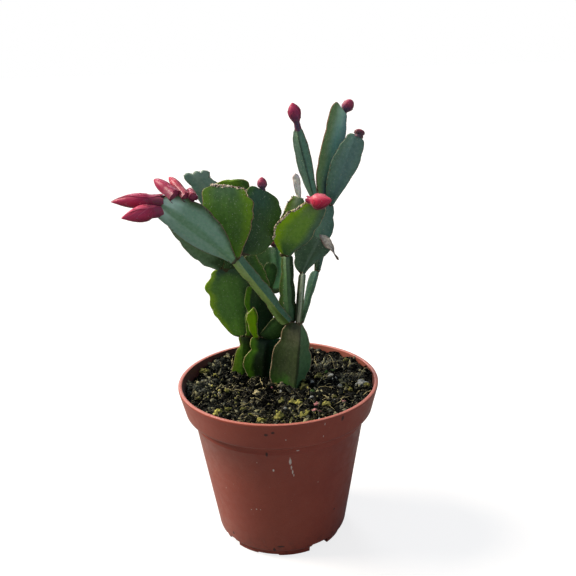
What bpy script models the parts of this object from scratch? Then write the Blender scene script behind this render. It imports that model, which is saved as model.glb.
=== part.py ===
"""Easter cactus in a 12 cm nursery pot, at real size.

The front is -Y and the pot's axis is Z. Sizes are given in millimetres and
turned to metres where a mesh is made.
"""

import math

import bmesh
import bpy
from mathutils import Vector, noise

MM = 0.001
GAP = 0.3  # clearance kept between pieces that touch
OBJECT_NAME = "easter_cactus"

# Pot
POT_HEIGHT = 99.0
RIM_RADIUS = 60.0
COLLAR_HEIGHT = 17.4
COLLAR_FOOT_RADIUS = 56.2
BODY_TOP_RADIUS = 51.8
BODY_FOOT_RADIUS = 39.8
WALL = 1.7
LIP_HEIGHT = 3.0
FLOOR_TOP = 4.8
UNDERSIDE = 3.2
FOOT_RADIUS = 37.2
FOOT_WIDTH = 4.0
POT_STEPS = 48
FOOT_GAPS = 4  # deep gaps that drain the pot, and as many shallow ones between them
CUT_RADIUS = 48.0  # where the cutters of both kinds end, outside the foot
DRAIN_WIDTH = 10.5
DRAIN_TOP = 5.6
DRAIN_INNER = 31.0
DRAIN_FIRST_ANGLE = 36.0
SHALLOW_WIDTH = 13.0
SHALLOW_DEPTH = 1.0
SHALLOW_INNER = 30.0
SHALLOW_FIRST_ANGLE = -14.0

# Soil
SOIL_LEVEL = 91.3
SOIL_SLOPE = 1.2  # how much higher the compost lies at the right rim than in the middle
SOIL_DISH = 2.2  # how much higher it lies all along the wall
SOIL_SECTORS = 40
SOIL_RINGS = 11
CLOD_HEIGHT = 2.6
CLOD_SIZE = 9.0
POCKET_GROWTH = 0.45

# Stem segments: how every pad is shaped
NECK = 1.7  # radius of the corky joint at the foot of a pad
MARGIN = 0.7  # half the thickness at the edge
NICK_DEPTH = 1.3
NICK_REACH = 4.5
ROWS = 14
KNUCKLE_ROW = 1.0  # height of the first row above the foot
COLUMNS = (-1.0, -0.45, 0.0, 0.45, 1.0)
FRONT = Vector((0.0, -1.0, 0.0))

# Buds
BUD_ROWS = 9
BUD_SIDES = 9
BELLY_PLACE = 0.88  # under 1 puts the belly of a bud nearer its foot
BUD_FOOT = 0.5  # radius of a bud's foot, as a share of its belly
PETAL_STEP = 0.12  # how far an overlapping petal edge stands out, as a share of the radius

# Dry remnants
DRY_NECK = 1.0
DRY_MARGIN = 0.35

GREEN_DEEP = "3c5c2a"
GREEN_YELLOW = "5c7d1e"
GREEN_BLUE = "5b7c70"
GREEN_DARK = "2c4c34"
GREEN_OLIVE = "4c5030"
GREEN_SLATE = "44605a"
BROWN_STEM = "6a665a"

# One entry for each pad, a parent before its children.
# seat: where a rooted pad stands, or the place on the parent's tip (across, towards the front)
# tip: where the pad ends
# left, right: (share of the length, half width) points that its edges run through
# nicks: shares of the length where an areole notches the left and the right edge
# rib: thickness at the midrib; ridge: how far a third wing stands out in front
# notch: depth of the nicks, as a share of the usual one
PADS = {
    "base_front": dict(
        seat=(7, 10.5, 78), tip=(11.7, 8, 131.6), colour=GREEN_OLIVE, rib=6, ridge=5.5, ridge_at=3,
        left=((0, 7), (0.31, 13.8), (0.48, 13.4), (0.65, 12.7), (0.83, 8.9), (0.91, 8), (0.97, 5.8),
              (1, 5.2)),
        right=((0, 7), (0.36, 8.7), (0.45, 10.9), (0.65, 10.6), (0.89, 7), (0.96, 4.8), (1, 4.4)),
        nicks=((0.78,), (0.68,)),
    ),
    "base_middle": dict(
        seat=(-11, 21.5, 79), tip=(-7.2, 24, 115.2), colour=GREEN_DARK, rib=5, ridge=2.5,
        left=((0, 5), (0.34, 10.5), (0.48, 13), (0.61, 12.7), (0.71, 11), (0.76, 9.5), (0.85, 9.3),
              (1, 7)),
        right=((0, 7), (0.41, 8.5), (0.6, 9.6), (0.89, 9.3), (1, 7.4)),
        nicks=((0.78,), (0.55,)),
    ),
    "base_left": dict(
        seat=(-23.5, 27.5, 80), tip=(-21.5, 30.5, 115), colour=GREEN_YELLOW, rib=4, turn=8,
        left=((0, 5), (0.3, 7.4), (0.46, 6.4), (0.73, 4.5), (0.81, 2.9), (1, 3.4)),
        right=((0, 5), (0.56, 6), (1, 4.2)),
        nicks=((0.83,), (0.6,)),
    ),
    "stalk_front": dict(
        on="base_front", seat=(-5.2, 1), tip=(-19.3, -10, 176.6), colour=GREEN_BLUE, rib=4, ridge=3,
        left=((0, 1.7), (0.18, 5.3), (0.81, 5.1), (1, 4.3)),
        right=((0, 1.7), (0.15, 0.8), (0.51, 3.4), (0.88, 3.1), (1, 3.7)),
        nicks=((0.35, 0.7), (0.25, 0.62)),
    ),
    "stalk_center": dict(
        on="base_front", seat=(-3.8, -2.1), tip=(7.8, 6, 174), colour=GREEN_DEEP, rib=4, ridge=2.5,
        ridge_at=-1,
        left=((0, 1.7), (0.09, 3.9), (0.27, 5.6), (0.49, 5.5), (1, 3.4)),
        right=((0, 1.7), (0.1, 2.1), (1, 3.2)),
        nicks=((0.4, 0.75), (0.3, 0.62)),
    ),
    "stalk_thin": dict(
        on="base_front", seat=(-0.9, 0.9), tip=(16.8, 11, 161.6), colour=BROWN_STEM, rib=2.6,
        ridge=1.2,
        left=((0, 1.4), (0.92, 1.4), (1, 1.6)),
        right=((0, 1.4), (0.14, 1.7), (1, 1.6)),
        nicks=((), ()),
    ),
    "stalk_right": dict(
        on="base_front", seat=(2.8, -2), tip=(25.1, 20, 159.9), colour=GREEN_SLATE, rib=3.4,
        left=((0, 1.5), (0.12, 0.6), (0.31, 1.2), (0.8, 1.3), (1, 1.9)),
        right=((0, 1.5), (0.54, 2.1), (1, 1.9)),
        nicks=((), (0.5,)),
    ),
    "blade_left": dict(
        on="stalk_front", seat=(-3, 1.6), tip=(-59.1, -15, 207.6), colour=GREEN_BLUE, rib=3.2,
        ridge_at=3, turn=8, bend=1.5, slant=-2,
        left=((0, 1.7), (0.11, 1.5), (0.47, 4.7), (0.69, 5.4), (0.81, 4.8), (1, 4.8)),
        right=((0, 1.7), (0.2, 8.9), (0.45, 14), (0.7, 15.9), (0.88, 13.8), (0.93, 12.9), (1, 6.8)),
        nicks=((0.8,), (0.47, 0.76, 0.9)),
    ),
    "disc_front": dict(
        on="stalk_front", seat=(0.6, 0.2), tip=(-24, -3, 217.5), colour=GREEN_DEEP, rib=3, turn=8,
        bend=2, slant=2,
        left=((0, 1.7), (0.2, 4.4), (0.3, 6.7), (0.8, 15.9), (0.96, 14.3), (1, 10)),
        right=((0, 1.7), (0.48, 12.6), (0.74, 13.8), (0.84, 11.9), (1, 9.4)),
        nicks=((0.5, 0.84), (0.48, 0.63, 0.84)),
    ),
    "disc_behind": dict(
        on="stalk_front", seat=(4.3, -2.2), tip=(-7.3, 9, 213.6), colour=GREEN_DARK, rib=3,
        turn=-12, bend=-1.5,
        left=((0, 1.7), (0.21, 1.7), (0.4, 5.5), (0.61, 7), (0.81, 6.9), (1, 5.6)),
        right=((0, 1.7), (0.09, 7.3), (0.23, 11.4), (0.41, 14.2), (0.72, 15.9), (0.86, 14.7),
               (0.96, 11.6), (1, 6.6)),
        nicks=((0.45, 0.75), (0.52, 0.7, 0.87)),
    ),
    "disc_left": dict(
        on="base_left", seat=(-1.2, 0), tip=(-27.5, 26, 161.9), colour=GREEN_YELLOW, rib=3, turn=10,
        left=((0, 1.7), (0.03, 5.8), (0.13, 10.2), (0.28, 12.7), (0.36, 15.6), (0.45, 17.1),
              (0.58, 16.6), (0.68, 18.1), (0.76, 17.5), (0.85, 13.4), (0.93, 11), (1, 7.4)),
        right=((0, 1.7), (0.05, 3.5), (0.18, 6.4), (0.69, 11.2), (0.79, 10.7), (1, 6.4)),
        nicks=((0.4, 0.63, 0.89), (0.35, 0.65)),
    ),
    "blade_left_under": dict(
        on="disc_left", seat=(-4.4, 0.3), tip=(-60.5, 13, 194.8), colour=GREEN_DARK, rib=3, turn=-8,
        left=((0, 1.7), (0.16, 6.9), (0.31, 6.8), (0.49, 6.8), (0.7, 5.6), (1, 2.2)),
        right=((0, 1.7), (0.08, 4.6), (0.35, 7.3), (0.7, 7.5), (0.9, 5.6), (1, 3.6)),
        nicks=((0.3, 0.7), (0.4, 0.75)),
    ),
    "link_back": dict(
        on="disc_left", seat=(3, -0.4), tip=(-22, 28, 184.5), colour=GREEN_DARK, rib=3.4,
        left=((0, 1.7), (0.2, 3.6), (0.7, 4.6), (1, 4.6)),
        right=((0, 1.7), (0.25, 4.2), (0.75, 4.8), (1, 4.6)),
        nicks=((0.5,), (0.5,)),
    ),
    "blade_back_left": dict(
        on="link_back", seat=(-2.4, -1.4), tip=(-45, 33.5, 220), colour=GREEN_BLUE, rib=3, turn=-8,
        slant=3,
        left=((0, 1.7), (0.15, 5), (0.35, 7.2), (0.61, 7), (0.99, 7.1), (1, 7.6)),
        right=((0, 1.7), (0.15, 4), (0.56, 7.5), (0.7, 6.8), (0.78, 5.6), (1, 6.6)),
        nicks=((0.42, 0.85), (0.3, 0.85)),
    ),
    "leaf_back_top": dict(
        on="link_back", seat=(2.2, 1.4), tip=(-23.9, 22, 216), colour=GREEN_DEEP, rib=3, turn=8,
        slant=3,
        left=((0, 1.7), (0.36, 9.9), (0.57, 12.7), (0.77, 13.4), (0.93, 11.7), (1, 6.4)),
        right=((0, 1.7), (0.29, 7), (0.58, 10.3), (0.77, 11.2), (0.89, 10.5), (1, 8.6)),
        nicks=((0.4, 0.75), (0.5, 0.8)),
    ),
    "middle_stem": dict(
        on="base_middle", seat=(-6.2, -0.8), tip=(-10.1, 22, 150.2), colour=GREEN_YELLOW, rib=4,
        ridge=1,
        left=((0, 1.7), (0.04, 4.4), (0.18, 6.5), (0.4, 7.6), (0.52, 7.2), (0.67, 8.4), (1, 7.6)),
        right=((0, 1.7), (0.08, 4.5), (0.47, 8.7), (0.86, 8.5), (1, 7.6)),
        nicks=((0.49,), (0.4,)),
    ),
    "leaf_lime": dict(
        on="base_middle", seat=(-5.4, 2.6), tip=(-15.4, 15.5, 137.8), colour=GREEN_YELLOW, rib=2.4,
        slant=-1.8,
        left=((0, 1.5), (0.16, 3.1), (0.38, 4.2), (0.66, 4.1), (1, 2.6)),
        right=((0, 1.5), (0.16, 0.7), (0.76, 3.4), (1, 2.8)),
        nicks=((0.5,), (0.5,)),
    ),
    "leaf_small": dict(
        on="base_middle", seat=(-1, 1.5), tip=(1.5, 12.5, 129.9), colour=GREEN_DARK, rib=2.6,
        left=((0, 1.5), (0.67, 2.8), (1, 2.6)),
        right=((0, 1.5), (0.54, 4.7), (0.93, 4.5), (1, 3.4)),
        nicks=((), ()),
    ),
    "middle_leaf_front": dict(
        on="middle_stem", seat=(2, 2.2), tip=(-14.6, 13, 172.2), colour=GREEN_YELLOW, rib=2.8,
        turn=10,
        left=((0, 1.7), (0.4, 4.4), (0.73, 5.3), (1, 3.4)),
        right=((0, 1.7), (0.05, 4.4), (0.54, 5.7), (0.76, 4.5), (1, 3.4)),
        nicks=((0.45,), (0.3, 0.52, 0.76)),
    ),
    "middle_leaf_center": dict(
        on="middle_stem", seat=(5.6, 0.4), tip=(-2.6, 22, 165.5), colour=GREEN_DARK, rib=2.8,
        left=((0, 1.7), (0.48, 4), (0.8, 3.6), (1, 2.6)),
        right=((0, 1.7), (0.45, 4.7), (0.75, 4.7), (1, 2.6)),
        nicks=((), (0.5,)),
    ),
    "middle_leaf_back": dict(
        on="middle_stem", seat=(8.4, -2.1), tip=(-2.2, 35, 171.6), colour=GREEN_SLATE, rib=2.8,
        ridge=1, ridge_at=3,
        left=((0, 1.7), (0.01, 2.5), (0.27, 5.9), (0.56, 8), (0.82, 7.3), (1, 4.4)),
        right=((0, 1.7), (0.03, 4.8), (0.32, 7.2), (0.6, 8), (0.82, 6.6), (1, 4.2)),
        nicks=((0.5,), (0.55,)),
    ),
    "disc_right_front": dict(
        on="stalk_center", seat=(1.5, 0.9), tip=(25.6, -5, 206), colour=GREEN_YELLOW, rib=3,
        turn=-12, bend=1,
        left=((0, 1.7), (0.05, 5.6), (0.14, 10.3), (0.25, 13.3), (0.51, 14.7), (0.69, 12.8),
              (0.95, 7.2), (1, 5)),
        right=((0, 1.7), (0.19, 3.2), (0.32, 5.8), (0.45, 6.8), (0.86, 6.5), (1, 5.6)),
        nicks=((0.28, 0.58, 0.82), (0.6,)),
    ),
    "leaf_right_behind": dict(
        on="stalk_center", seat=(-2, -1.4), tip=(14.9, 14, 206.9), colour=GREEN_YELLOW, rib=2.8,
        left=((0, 1.7), (0.14, 1.5), (0.29, 4.9), (0.48, 7.1), (0.78, 5.7), (1, 3.2)),
        right=((0, 1.7), (0.22, 8.7), (0.37, 10.8), (0.57, 10.1), (1, 3.6)),
        nicks=((0.36, 0.68), (0.4, 0.7)),
    ),
    "leaf_right_low": dict(
        on="stalk_thin", seat=(0, 0), tip=(26.2, 10, 183), colour=GREEN_SLATE, rib=3,
        left=((0, 1.7), (0.02, 2.1), (0.09, 5), (0.19, 7.4), (0.41, 9.8), (0.58, 9.3), (0.74, 7.2),
              (1, 5)),
        right=((0, 1.7), (0.18, 2.8), (0.54, 7.1), (0.75, 8.8), (0.92, 8.6), (1, 5.6)),
        nicks=((0.3, 0.7), (0.45,)),
    ),
    "stem_right": dict(
        on="stalk_right", seat=(0, 0), tip=(30.1, 23, 200.5), colour=GREEN_SLATE, rib=3.6,
        left=((0, 1.7), (0.19, 2.6), (0.51, 6.6), (0.83, 7.8), (1, 6.6)),
        right=((0, 1.7), (0.34, 4.3), (0.47, 6.1), (0.74, 7.6), (1, 6)),
        nicks=((0.6,), (0.48, 0.8)),
    ),
    "blade_right_inner": dict(
        on="stem_right", seat=(-4.6, 0.4), tip=(16.7, 19, 245.4), colour=GREEN_SLATE, rib=3.2,
        ridge=1.2, turn=28, notch=0.4,
        left=((0, 1.7), (0.18, 4.5), (0.49, 6.6), (0.85, 5.3), (1, 2.8)),
        right=((0, 1.7), (0.2, 2.1), (0.71, 3.9), (1, 2.4)),
        nicks=((0.36, 0.68), (0.3, 0.7)),
    ),
    "blade_right_top": dict(
        on="stem_right", seat=(-0.2, -1.3), tip=(41.4, 28.5, 255.7), colour=GREEN_SLATE, rib=3,
        turn=-14, slant=2.6, notch=0.4,
        left=((0, 1.7), (0.15, 5.3), (0.33, 7.2), (0.73, 6.4), (0.93, 5.6), (1, 4.4)),
        right=((0, 1.7), (0.19, 1), (0.34, 3.2), (0.58, 5.7), (0.71, 6.1), (1, 4.2)),
        nicks=((0.38, 0.75), (0.33, 0.64, 0.86)),
    ),
    "blade_right_outer": dict(
        on="stem_right", seat=(4.4, 0.9), tip=(48.6, 15.5, 241.2), colour=GREEN_SLATE, rib=3,
        turn=10, notch=0.4,
        left=((0, 1.7), (0.18, 5.8), (0.53, 8.1), (0.81, 6.6), (0.9, 5.1), (1, 4.6)),
        right=((0, 1.7), (0.39, 6), (0.63, 7.7), (0.83, 7.2), (0.95, 5.9), (1, 4)),
        nicks=((0.4, 0.72), (0.45, 0.78)),
    ),
}

# Closed flower buds: the pad each grew on, its place there, its point and radius
# blunt: how round the point is; bow: curve to one side; late: place of the belly, if not the usual
BUDS = {
    "bud_left_upper": dict(on="blade_left", seat=(0.6, 0.8), tip=(-87.1, -16, 213.7), radius=4,
                           bow=1.4),
    "bud_left_lower": dict(on="blade_left", seat=(-3.4, 1.9), tip=(-78.9, -31, 208.2), radius=4.5),
    "bud_left_back": dict(on="blade_left", edge=("right", 1), tip=(-62.8, -12, 224), radius=3.1,
                          blunt=0.7),
    "bud_left_edge": dict(on="blade_left", edge=("right", 0.93), tip=(-55.3, -8, 224.3), radius=2.8,
                          blunt=0.5),
    "bud_left_inner": dict(on="blade_left", edge=("right", 0.82), tip=(-44.6, -9, 218.2),
                           radius=2.5, blunt=0.5),
    "bud_disc_behind": dict(on="disc_behind", seat=(1.6, 0), tip=(-5, 10, 219.4), radius=2.8,
                            blunt=0.5),
    "bud_right_inner": dict(on="blade_right_inner", seat=(0, 0), tip=(14.3, 17, 260.1), radius=3.7,
                            late=1.15),
    "bud_right_top": dict(on="blade_right_top", seat=(3.6, 0), tip=(46.5, 29, 259.8), radius=3.7,
                          blunt=0.9),
    "bud_right_outer": dict(on="blade_right_outer", seat=(1.4, 0), tip=(51, 15.5, 244.4), radius=3,
                            blunt=0.9),
    "bud_right_front": dict(on="disc_right_front", seat=(-4.6, 1.6), tip=(32.9, -14, 209.4),
                            radius=4.5, blunt=0.3),
    "bud_middle_back": dict(on="middle_leaf_back", seat=(0, 0), tip=(-0.9, 35, 176.6), radius=2.6,
                            blunt=0.5),
}

# Papery remnants, shaped as thin crumpled pads
REMNANTS = {
    "dry_flower_remnant": dict(
        on="leaf_right_behind", seat=(0, 0), tip=(14.3, 13, 220.9), colour="b5a094", rib=1.6,
        wave=0.8,
        left=((0, 1), (0.25, 1.7), (0.6, 2.5), (0.85, 2), (1, 0.7)),
        right=((0, 1), (0.3, 2.2), (0.6, 2.4), (0.85, 1.8), (1, 0.6)),
        nicks=((0.6,), (0.4,)),
    ),
    "dry_leaf_remnant": dict(
        on="leaf_right_low", seat=(2, 0.8), tip=(37.3, 0, 172.3), colour="8d8a83", rib=1.5, turn=25,
        wave=1.4,
        left=((0, 1), (0.08, 2.8), (0.27, 3.3), (0.51, 2.6), (0.7, 0.9), (1, 0.5)),
        right=((0, 1), (0.16, 1.7), (0.44, 1.6), (0.65, 0.9), (1, 0.5)),
        nicks=((0.4,), (0.6,)),
    ),
}


def colour_of(code):
    """A linear colour from an sRGB hex code."""
    linear = []
    for start in (0, 2, 4):
        value = int(code[start:start + 2], 16) / 255
        linear.append(value / 12.92 if value <= 0.04045 else ((value + 0.055) / 1.055) ** 2.4)
    return (*linear, 1.0)


def material_of(name, code, roughness):
    material = bpy.data.materials.new(name)
    material.use_nodes = True
    shader = material.node_tree.nodes["Principled BSDF"]
    shader.inputs["Base Color"].default_value = colour_of(code)
    shader.inputs["Roughness"].default_value = roughness
    shader.inputs["Metallic"].default_value = 0.0
    return material


def smooth_at(points, share):
    """The value at a share of the length on a smooth curve through the (share, value) points."""
    if share <= points[0][0]:
        return points[0][1]
    slopes = []
    for i in range(len(points)):
        before = points[max(i - 1, 0)]
        after = points[min(i + 1, len(points) - 1)]
        slopes.append((after[1] - before[1]) / (after[0] - before[0]))
    for i in range(len(points) - 1):
        (x0, y0), (x1, y1) = points[i], points[i + 1]
        if share <= x1:
            span = x1 - x0
            t = (share - x0) / span
            return (
                y0 * (1 + 2 * t) * (1 - t) ** 2
                + y1 * t * t * (3 - 2 * t)
                + span * slopes[i] * t * (1 - t) ** 2
                + span * slopes[i + 1] * t * t * (t - 1)
            )
    return points[-1][1]


class Pad:
    """A stem segment: its frame in space and the formulas of its surface."""

    def __init__(self, pads, spec, neck=NECK, margin=MARGIN, grow=0.0):
        self.spec = spec
        self.neck = neck
        self.margin = margin + grow
        self.grow = grow
        self.tip = Vector(spec["tip"])
        self.base = self.seated(pads, neck)
        along = self.tip - self.base
        self.length = along.length
        self.along = along.normalized()
        front = (FRONT - self.along * FRONT.dot(self.along)).normalized()
        across = self.along.cross(front)
        turn = math.radians(spec.get("turn", 0))
        self.across = across * math.cos(turn) + front * math.sin(turn)
        self.front = front * math.cos(turn) - across * math.sin(turn)

    def seated(self, pads, neck):
        """The foot of this piece: its rounded end rests a gap away from the parent's edge."""
        if "on" not in self.spec:
            return Vector(self.spec["seat"])
        parent = pads[self.spec["on"]]
        if "edge" in self.spec:
            side, share = self.spec["edge"]
            sign = -1 if side == "left" else 1
            point = parent.point(sign, share, 0)
            outward = parent.across * sign
        else:
            point = parent.tip_point(*self.spec["seat"])
            outward = parent.along
        center = point + outward * (neck + GAP)
        return center - (self.tip - center).normalized() * neck

    def half_width(self, sign, share):
        side = "left" if sign < 0 else "right"
        width = smooth_at(self.spec[side], share)
        for nick in self.spec["nicks"][0 if sign < 0 else 1]:
            away = abs(share - nick) * self.length / NICK_REACH
            depth = min(NICK_DEPTH, 0.3 + 0.1 * width)
            width -= self.spec.get("notch", 1) * depth * max(0.0, 1 - away) ** 1.5
        return width * self.foot_roundness(share) + self.grow

    def foot_roundness(self, share):
        """Narrows the first millimetres of a pad that sits on another to a rounded knuckle."""
        if "on" not in self.spec:
            return 1.0
        missing = max(0.0, 1 - share * self.length / self.neck)
        return math.sqrt(1 - 0.75 * missing * missing)

    def centre_line(self, share):
        """Across and front offsets of the midrib."""
        across = self.spec.get("ridge_at", 0) * math.sin(math.pi * min(share, 0.5))
        front = self.spec.get("bend", 0) * 4 * share * (1 - share)
        return across, front

    def point(self, u, share, face):
        """A point on the pad: u from -1 at the left edge to 1 at the right, face 1 front, -1 back."""
        rib_across, rib_front = self.centre_line(share)
        sign = -1 if u < 0 else 1
        edge = sign * self.half_width(sign, share)
        x = rib_across + abs(u) * (edge - rib_across)
        crown = max(0.0, 1 - abs(u))
        fullness = min(1.0, 0.55 + 3 * share, 0.6 + 4 * (1 - share))
        rib = (self.spec["rib"] / 2 + self.grow - self.margin) * fullness
        thick = self.margin * min(1.0, 0.6 + 8 * share) + max(rib, 0.1) * crown ** 1.4
        ridge = 0.0
        if face > 0:
            height = min(1.0, 5 * share, 0.45 + 3 * (1 - share))
            ridge = self.spec.get("ridge", 0) * height * crown ** 1.8
        wave = self.spec.get("wave", 0) * math.sin(9 * share + 2 * u) * abs(u)
        n = rib_front + wave + face * (thick + ridge)
        lift = -self.spec.get("slant", 0) * u * max(0.0, 5 * share - 4)
        return (
            self.base
            + self.along * (share * self.length + lift)
            + self.across * x
            + self.front * n
        )

    def tip_point(self, across, front):
        """A point over the tip edge, at a distance across and towards the front."""
        sign = -1 if across < 0 else 1
        u = across / max(self.half_width(sign, 1.0), 1.0)
        return self.point(u, 1.0, 0) + self.front * front

    def rows(self, nicks=()):
        """Shares of the length where the mesh has rows, some of them moved onto nicks."""
        start = KNUCKLE_ROW / self.length
        rows = [0.0] + [start + (1 - start) * i / (ROWS - 2) for i in range(ROWS - 1)]
        for nick in nicks:
            nearest = min(range(2, ROWS - 1), key=lambda i: abs(rows[i] - nick))
            rows[nearest] = nick
        return rows

    def mesh(self, name):
        """A closed skin of rows and columns, split into triangles alike on both faces."""
        middle = self.rows()
        sides = [self.rows(nicks) for nicks in self.spec["nicks"]]
        shell = bmesh.new()
        grids = {}
        for face in (1, -1):
            grid = []
            for i in range(ROWS):
                row = []
                for u in COLUMNS:
                    side = sides[0 if u < 0 else 1][i]
                    share = middle[i] + (side - middle[i]) * abs(u)
                    row.append(shell.verts.new(self.point(u, share, face) * MM))
                grid.append(row)
            grids[face] = grid
        front, back = grids[1], grids[-1]
        last = len(COLUMNS) - 1
        for i in range(ROWS - 1):
            for grid in (front, back):
                for j in range(last):
                    shell.faces.new((grid[i][j], grid[i][j + 1], grid[i + 1][j + 1]))
                    shell.faces.new((grid[i][j], grid[i + 1][j + 1], grid[i + 1][j]))
            for j in (0, last):
                shell.faces.new((front[i][j], back[i][j], back[i + 1][j], front[i + 1][j]))
        for i in (0, ROWS - 1):
            shell.faces.new(front[i] + back[i][::-1])
        data = bpy.data.meshes.new(name)
        bmesh.ops.recalc_face_normals(shell, faces=shell.faces)
        shell.to_mesh(data)
        shell.free()
        return data


def add_object(name, data, material, collection, parent):
    piece = bpy.data.objects.new(name, data)
    data.materials.append(material)
    data.shade_smooth()
    data.set_sharp_from_angle(angle=math.radians(40))
    collection.objects.link(piece)
    piece.parent = parent
    return piece


def bud_radius(spec, share):
    """Radius along a closed bud: a narrow foot, a belly, and a point that may be blunt."""
    radius = spec["radius"]
    foot = BUD_FOOT * radius
    place = spec.get("late", BELLY_PLACE)
    belly = math.sin(math.pi * share ** place) ** (0.9 - 0.45 * spec.get("blunt", 0))
    return max(foot * (1 - share) ** 0.6, radius * belly * min(1.0, 0.35 + 2.2 * share))


def bud_mesh(name, pad, spec):
    """A closed bud whose overlapping petals stand out as spiral steps."""
    shell = bmesh.new()
    bow = spec.get("bow", 0)
    rings = []
    for i in range(1, BUD_ROWS):
        share = i / BUD_ROWS
        ring = []
        for k in range(BUD_SIDES):
            turn = 2 * math.pi * k / BUD_SIDES + 0.5 * share
            step = (3 * k / BUD_SIDES + 0.5 * i) % 1.0
            size = bud_radius(spec, share) * (1 + PETAL_STEP * (step - 0.5))
            point = (
                pad.base
                + pad.along * (share * pad.length)
                + pad.across * (size * math.cos(turn) + bow * math.sin(math.pi * share))
                + pad.front * (size * math.sin(turn))
            )
            ring.append(shell.verts.new(point * MM))
        rings.append(ring)
    foot = shell.verts.new(pad.base * MM)
    point = shell.verts.new(pad.tip * MM)
    for k in range(BUD_SIDES):
        after = (k + 1) % BUD_SIDES
        shell.faces.new((foot, rings[0][k], rings[0][after]))
        shell.faces.new((point, rings[-1][after], rings[-1][k]))
        for lower, upper in zip(rings, rings[1:]):
            shell.faces.new((lower[k], upper[k], upper[after], lower[after]))
    bmesh.ops.recalc_face_normals(shell, faces=shell.faces)
    data = bpy.data.meshes.new(name)
    shell.to_mesh(data)
    shell.free()
    return data


def pot_profile():
    """The turned outline, down the outer side, under the foot and up the inner wall."""
    top = POT_HEIGHT
    step = top - COLLAR_HEIGHT
    bore = RIM_RADIUS - WALL - 0.5
    return (
        (0, FLOOR_TOP),
        (BODY_FOOT_RADIUS - WALL - 1, FLOOR_TOP),
        (BODY_FOOT_RADIUS - WALL, FLOOR_TOP + 1.2),
        (BODY_TOP_RADIUS - WALL, step - 1),
        (COLLAR_FOOT_RADIUS - WALL, step + 2),
        (bore - 0.6, top - LIP_HEIGHT),
        (bore, top - 0.5),
        (bore + 0.5, top),
        (RIM_RADIUS - 0.5, top),
        (RIM_RADIUS, top - 0.5),
        (RIM_RADIUS - 0.1, top - LIP_HEIGHT + 0.4),
        (RIM_RADIUS - 0.7, top - LIP_HEIGHT),
        (COLLAR_FOOT_RADIUS + 0.2, step + 1.6),
        (COLLAR_FOOT_RADIUS - 0.5, step + 0.4),
        (COLLAR_FOOT_RADIUS - 1.8, step),
        (BODY_TOP_RADIUS + 0.6, step - 0.5),
        (BODY_TOP_RADIUS, step - 1.6),
        (BODY_FOOT_RADIUS, 6.2),
        (BODY_FOOT_RADIUS - 1.2, 4.4),
        (FOOT_RADIUS, 3.4),
        (FOOT_RADIUS - 0.3, 0),
        (FOOT_RADIUS - FOOT_WIDTH, 0),
        (FOOT_RADIUS - FOOT_WIDTH - 0.5, UNDERSIDE),
        (0, UNDERSIDE),
    )


def make_pot(collection, cutters, parent):
    profile = bpy.data.meshes.new("pot")
    points = [(radius * MM, 0, height * MM) for radius, height in pot_profile()]
    edges = [(i, i + 1) for i in range(len(points) - 1)]
    profile.from_pydata(points, edges, [])
    material = material_of("pot_plastic", "9a5a48", 0.45)
    pot = add_object("pot", profile, material, collection, parent)
    turned = pot.modifiers.new("turned", "SCREW")
    turned.steps = POT_STEPS
    turned.render_steps = POT_STEPS
    turned.use_merge_vertices = True
    turned.merge_threshold = 0.00001
    turned.use_normal_calculate = True
    gaps = (
        ("drain", DRAIN_WIDTH, DRAIN_TOP, DRAIN_FIRST_ANGLE, DRAIN_INNER),
        ("shallow", SHALLOW_WIDTH, SHALLOW_DEPTH, SHALLOW_FIRST_ANGLE, SHALLOW_INNER),
    )
    for label, width, top, first_angle, inner in gaps:
        for i in range(FOOT_GAPS):
            angle = math.radians(first_angle + 360 * i / FOOT_GAPS - 90)
            depth = CUT_RADIUS - inner
            middle = inner + depth / 2
            bpy.ops.mesh.primitive_cube_add(size=1)
            cutter = bpy.context.object
            cutter.name = f"{label}_cutter_{i + 1}"
            cutter.scale = (depth * MM, width * MM, (top + 2) * MM)
            cutter.rotation_euler = (0, 0, angle)
            cutter.location = Vector(
                (middle * math.cos(angle), middle * math.sin(angle), (top - 2) / 2)
            ) * MM
            use_as_cutter(pot, cutter, cutters, parent)
    return pot


def use_as_cutter(piece, cutter, cutters, parent):
    for holder in list(cutter.users_collection):
        holder.objects.unlink(cutter)
    cutters.objects.link(cutter)
    cutter.parent = parent
    cutter.hide_render = True
    cutter.display_type = "WIRE"
    cut = piece.modifiers.new(cutter.name, "BOOLEAN")
    cut.operation = "DIFFERENCE"
    cut.object = cutter


def soil_height(x, y):
    """Top of the compost: cloddy, and higher along the wall and towards the right."""
    slope = SOIL_SLOPE * (x - 0.5 * y) / RIM_RADIUS
    dish = SOIL_DISH * (math.hypot(x, y) / COLLAR_FOOT_RADIUS) ** 3
    clods = noise.noise(Vector((x, y, 3.0)) / CLOD_SIZE)
    crumbs = noise.noise(Vector((x, y, 9.0)) / (0.4 * CLOD_SIZE))
    return SOIL_LEVEL + slope + dish + CLOD_HEIGHT * (clods + 0.4 * crumbs)


def wall_radius(height):
    """Inner radius of the collar at a height."""
    low = (COLLAR_FOOT_RADIUS - WALL, POT_HEIGHT - COLLAR_HEIGHT + 2)
    high = (RIM_RADIUS - WALL - 1.1, POT_HEIGHT - LIP_HEIGHT)
    return low[0] + (high[0] - low[0]) * (height - low[1]) / (high[1] - low[1])


def soil_wall():
    """Radius and height of the compost's side, a gap inside the pot's wall."""
    step = POT_HEIGHT - COLLAR_HEIGHT
    return (
        (BODY_FOOT_RADIUS - WALL - 1.6, FLOOR_TOP + GAP),
        (BODY_FOOT_RADIUS - WALL - 0.5, FLOOR_TOP + 2.2),
        (BODY_TOP_RADIUS - WALL - 0.5, step - 1),
        (COLLAR_FOOT_RADIUS - WALL - 0.6, step + 2.2),
    )


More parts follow.
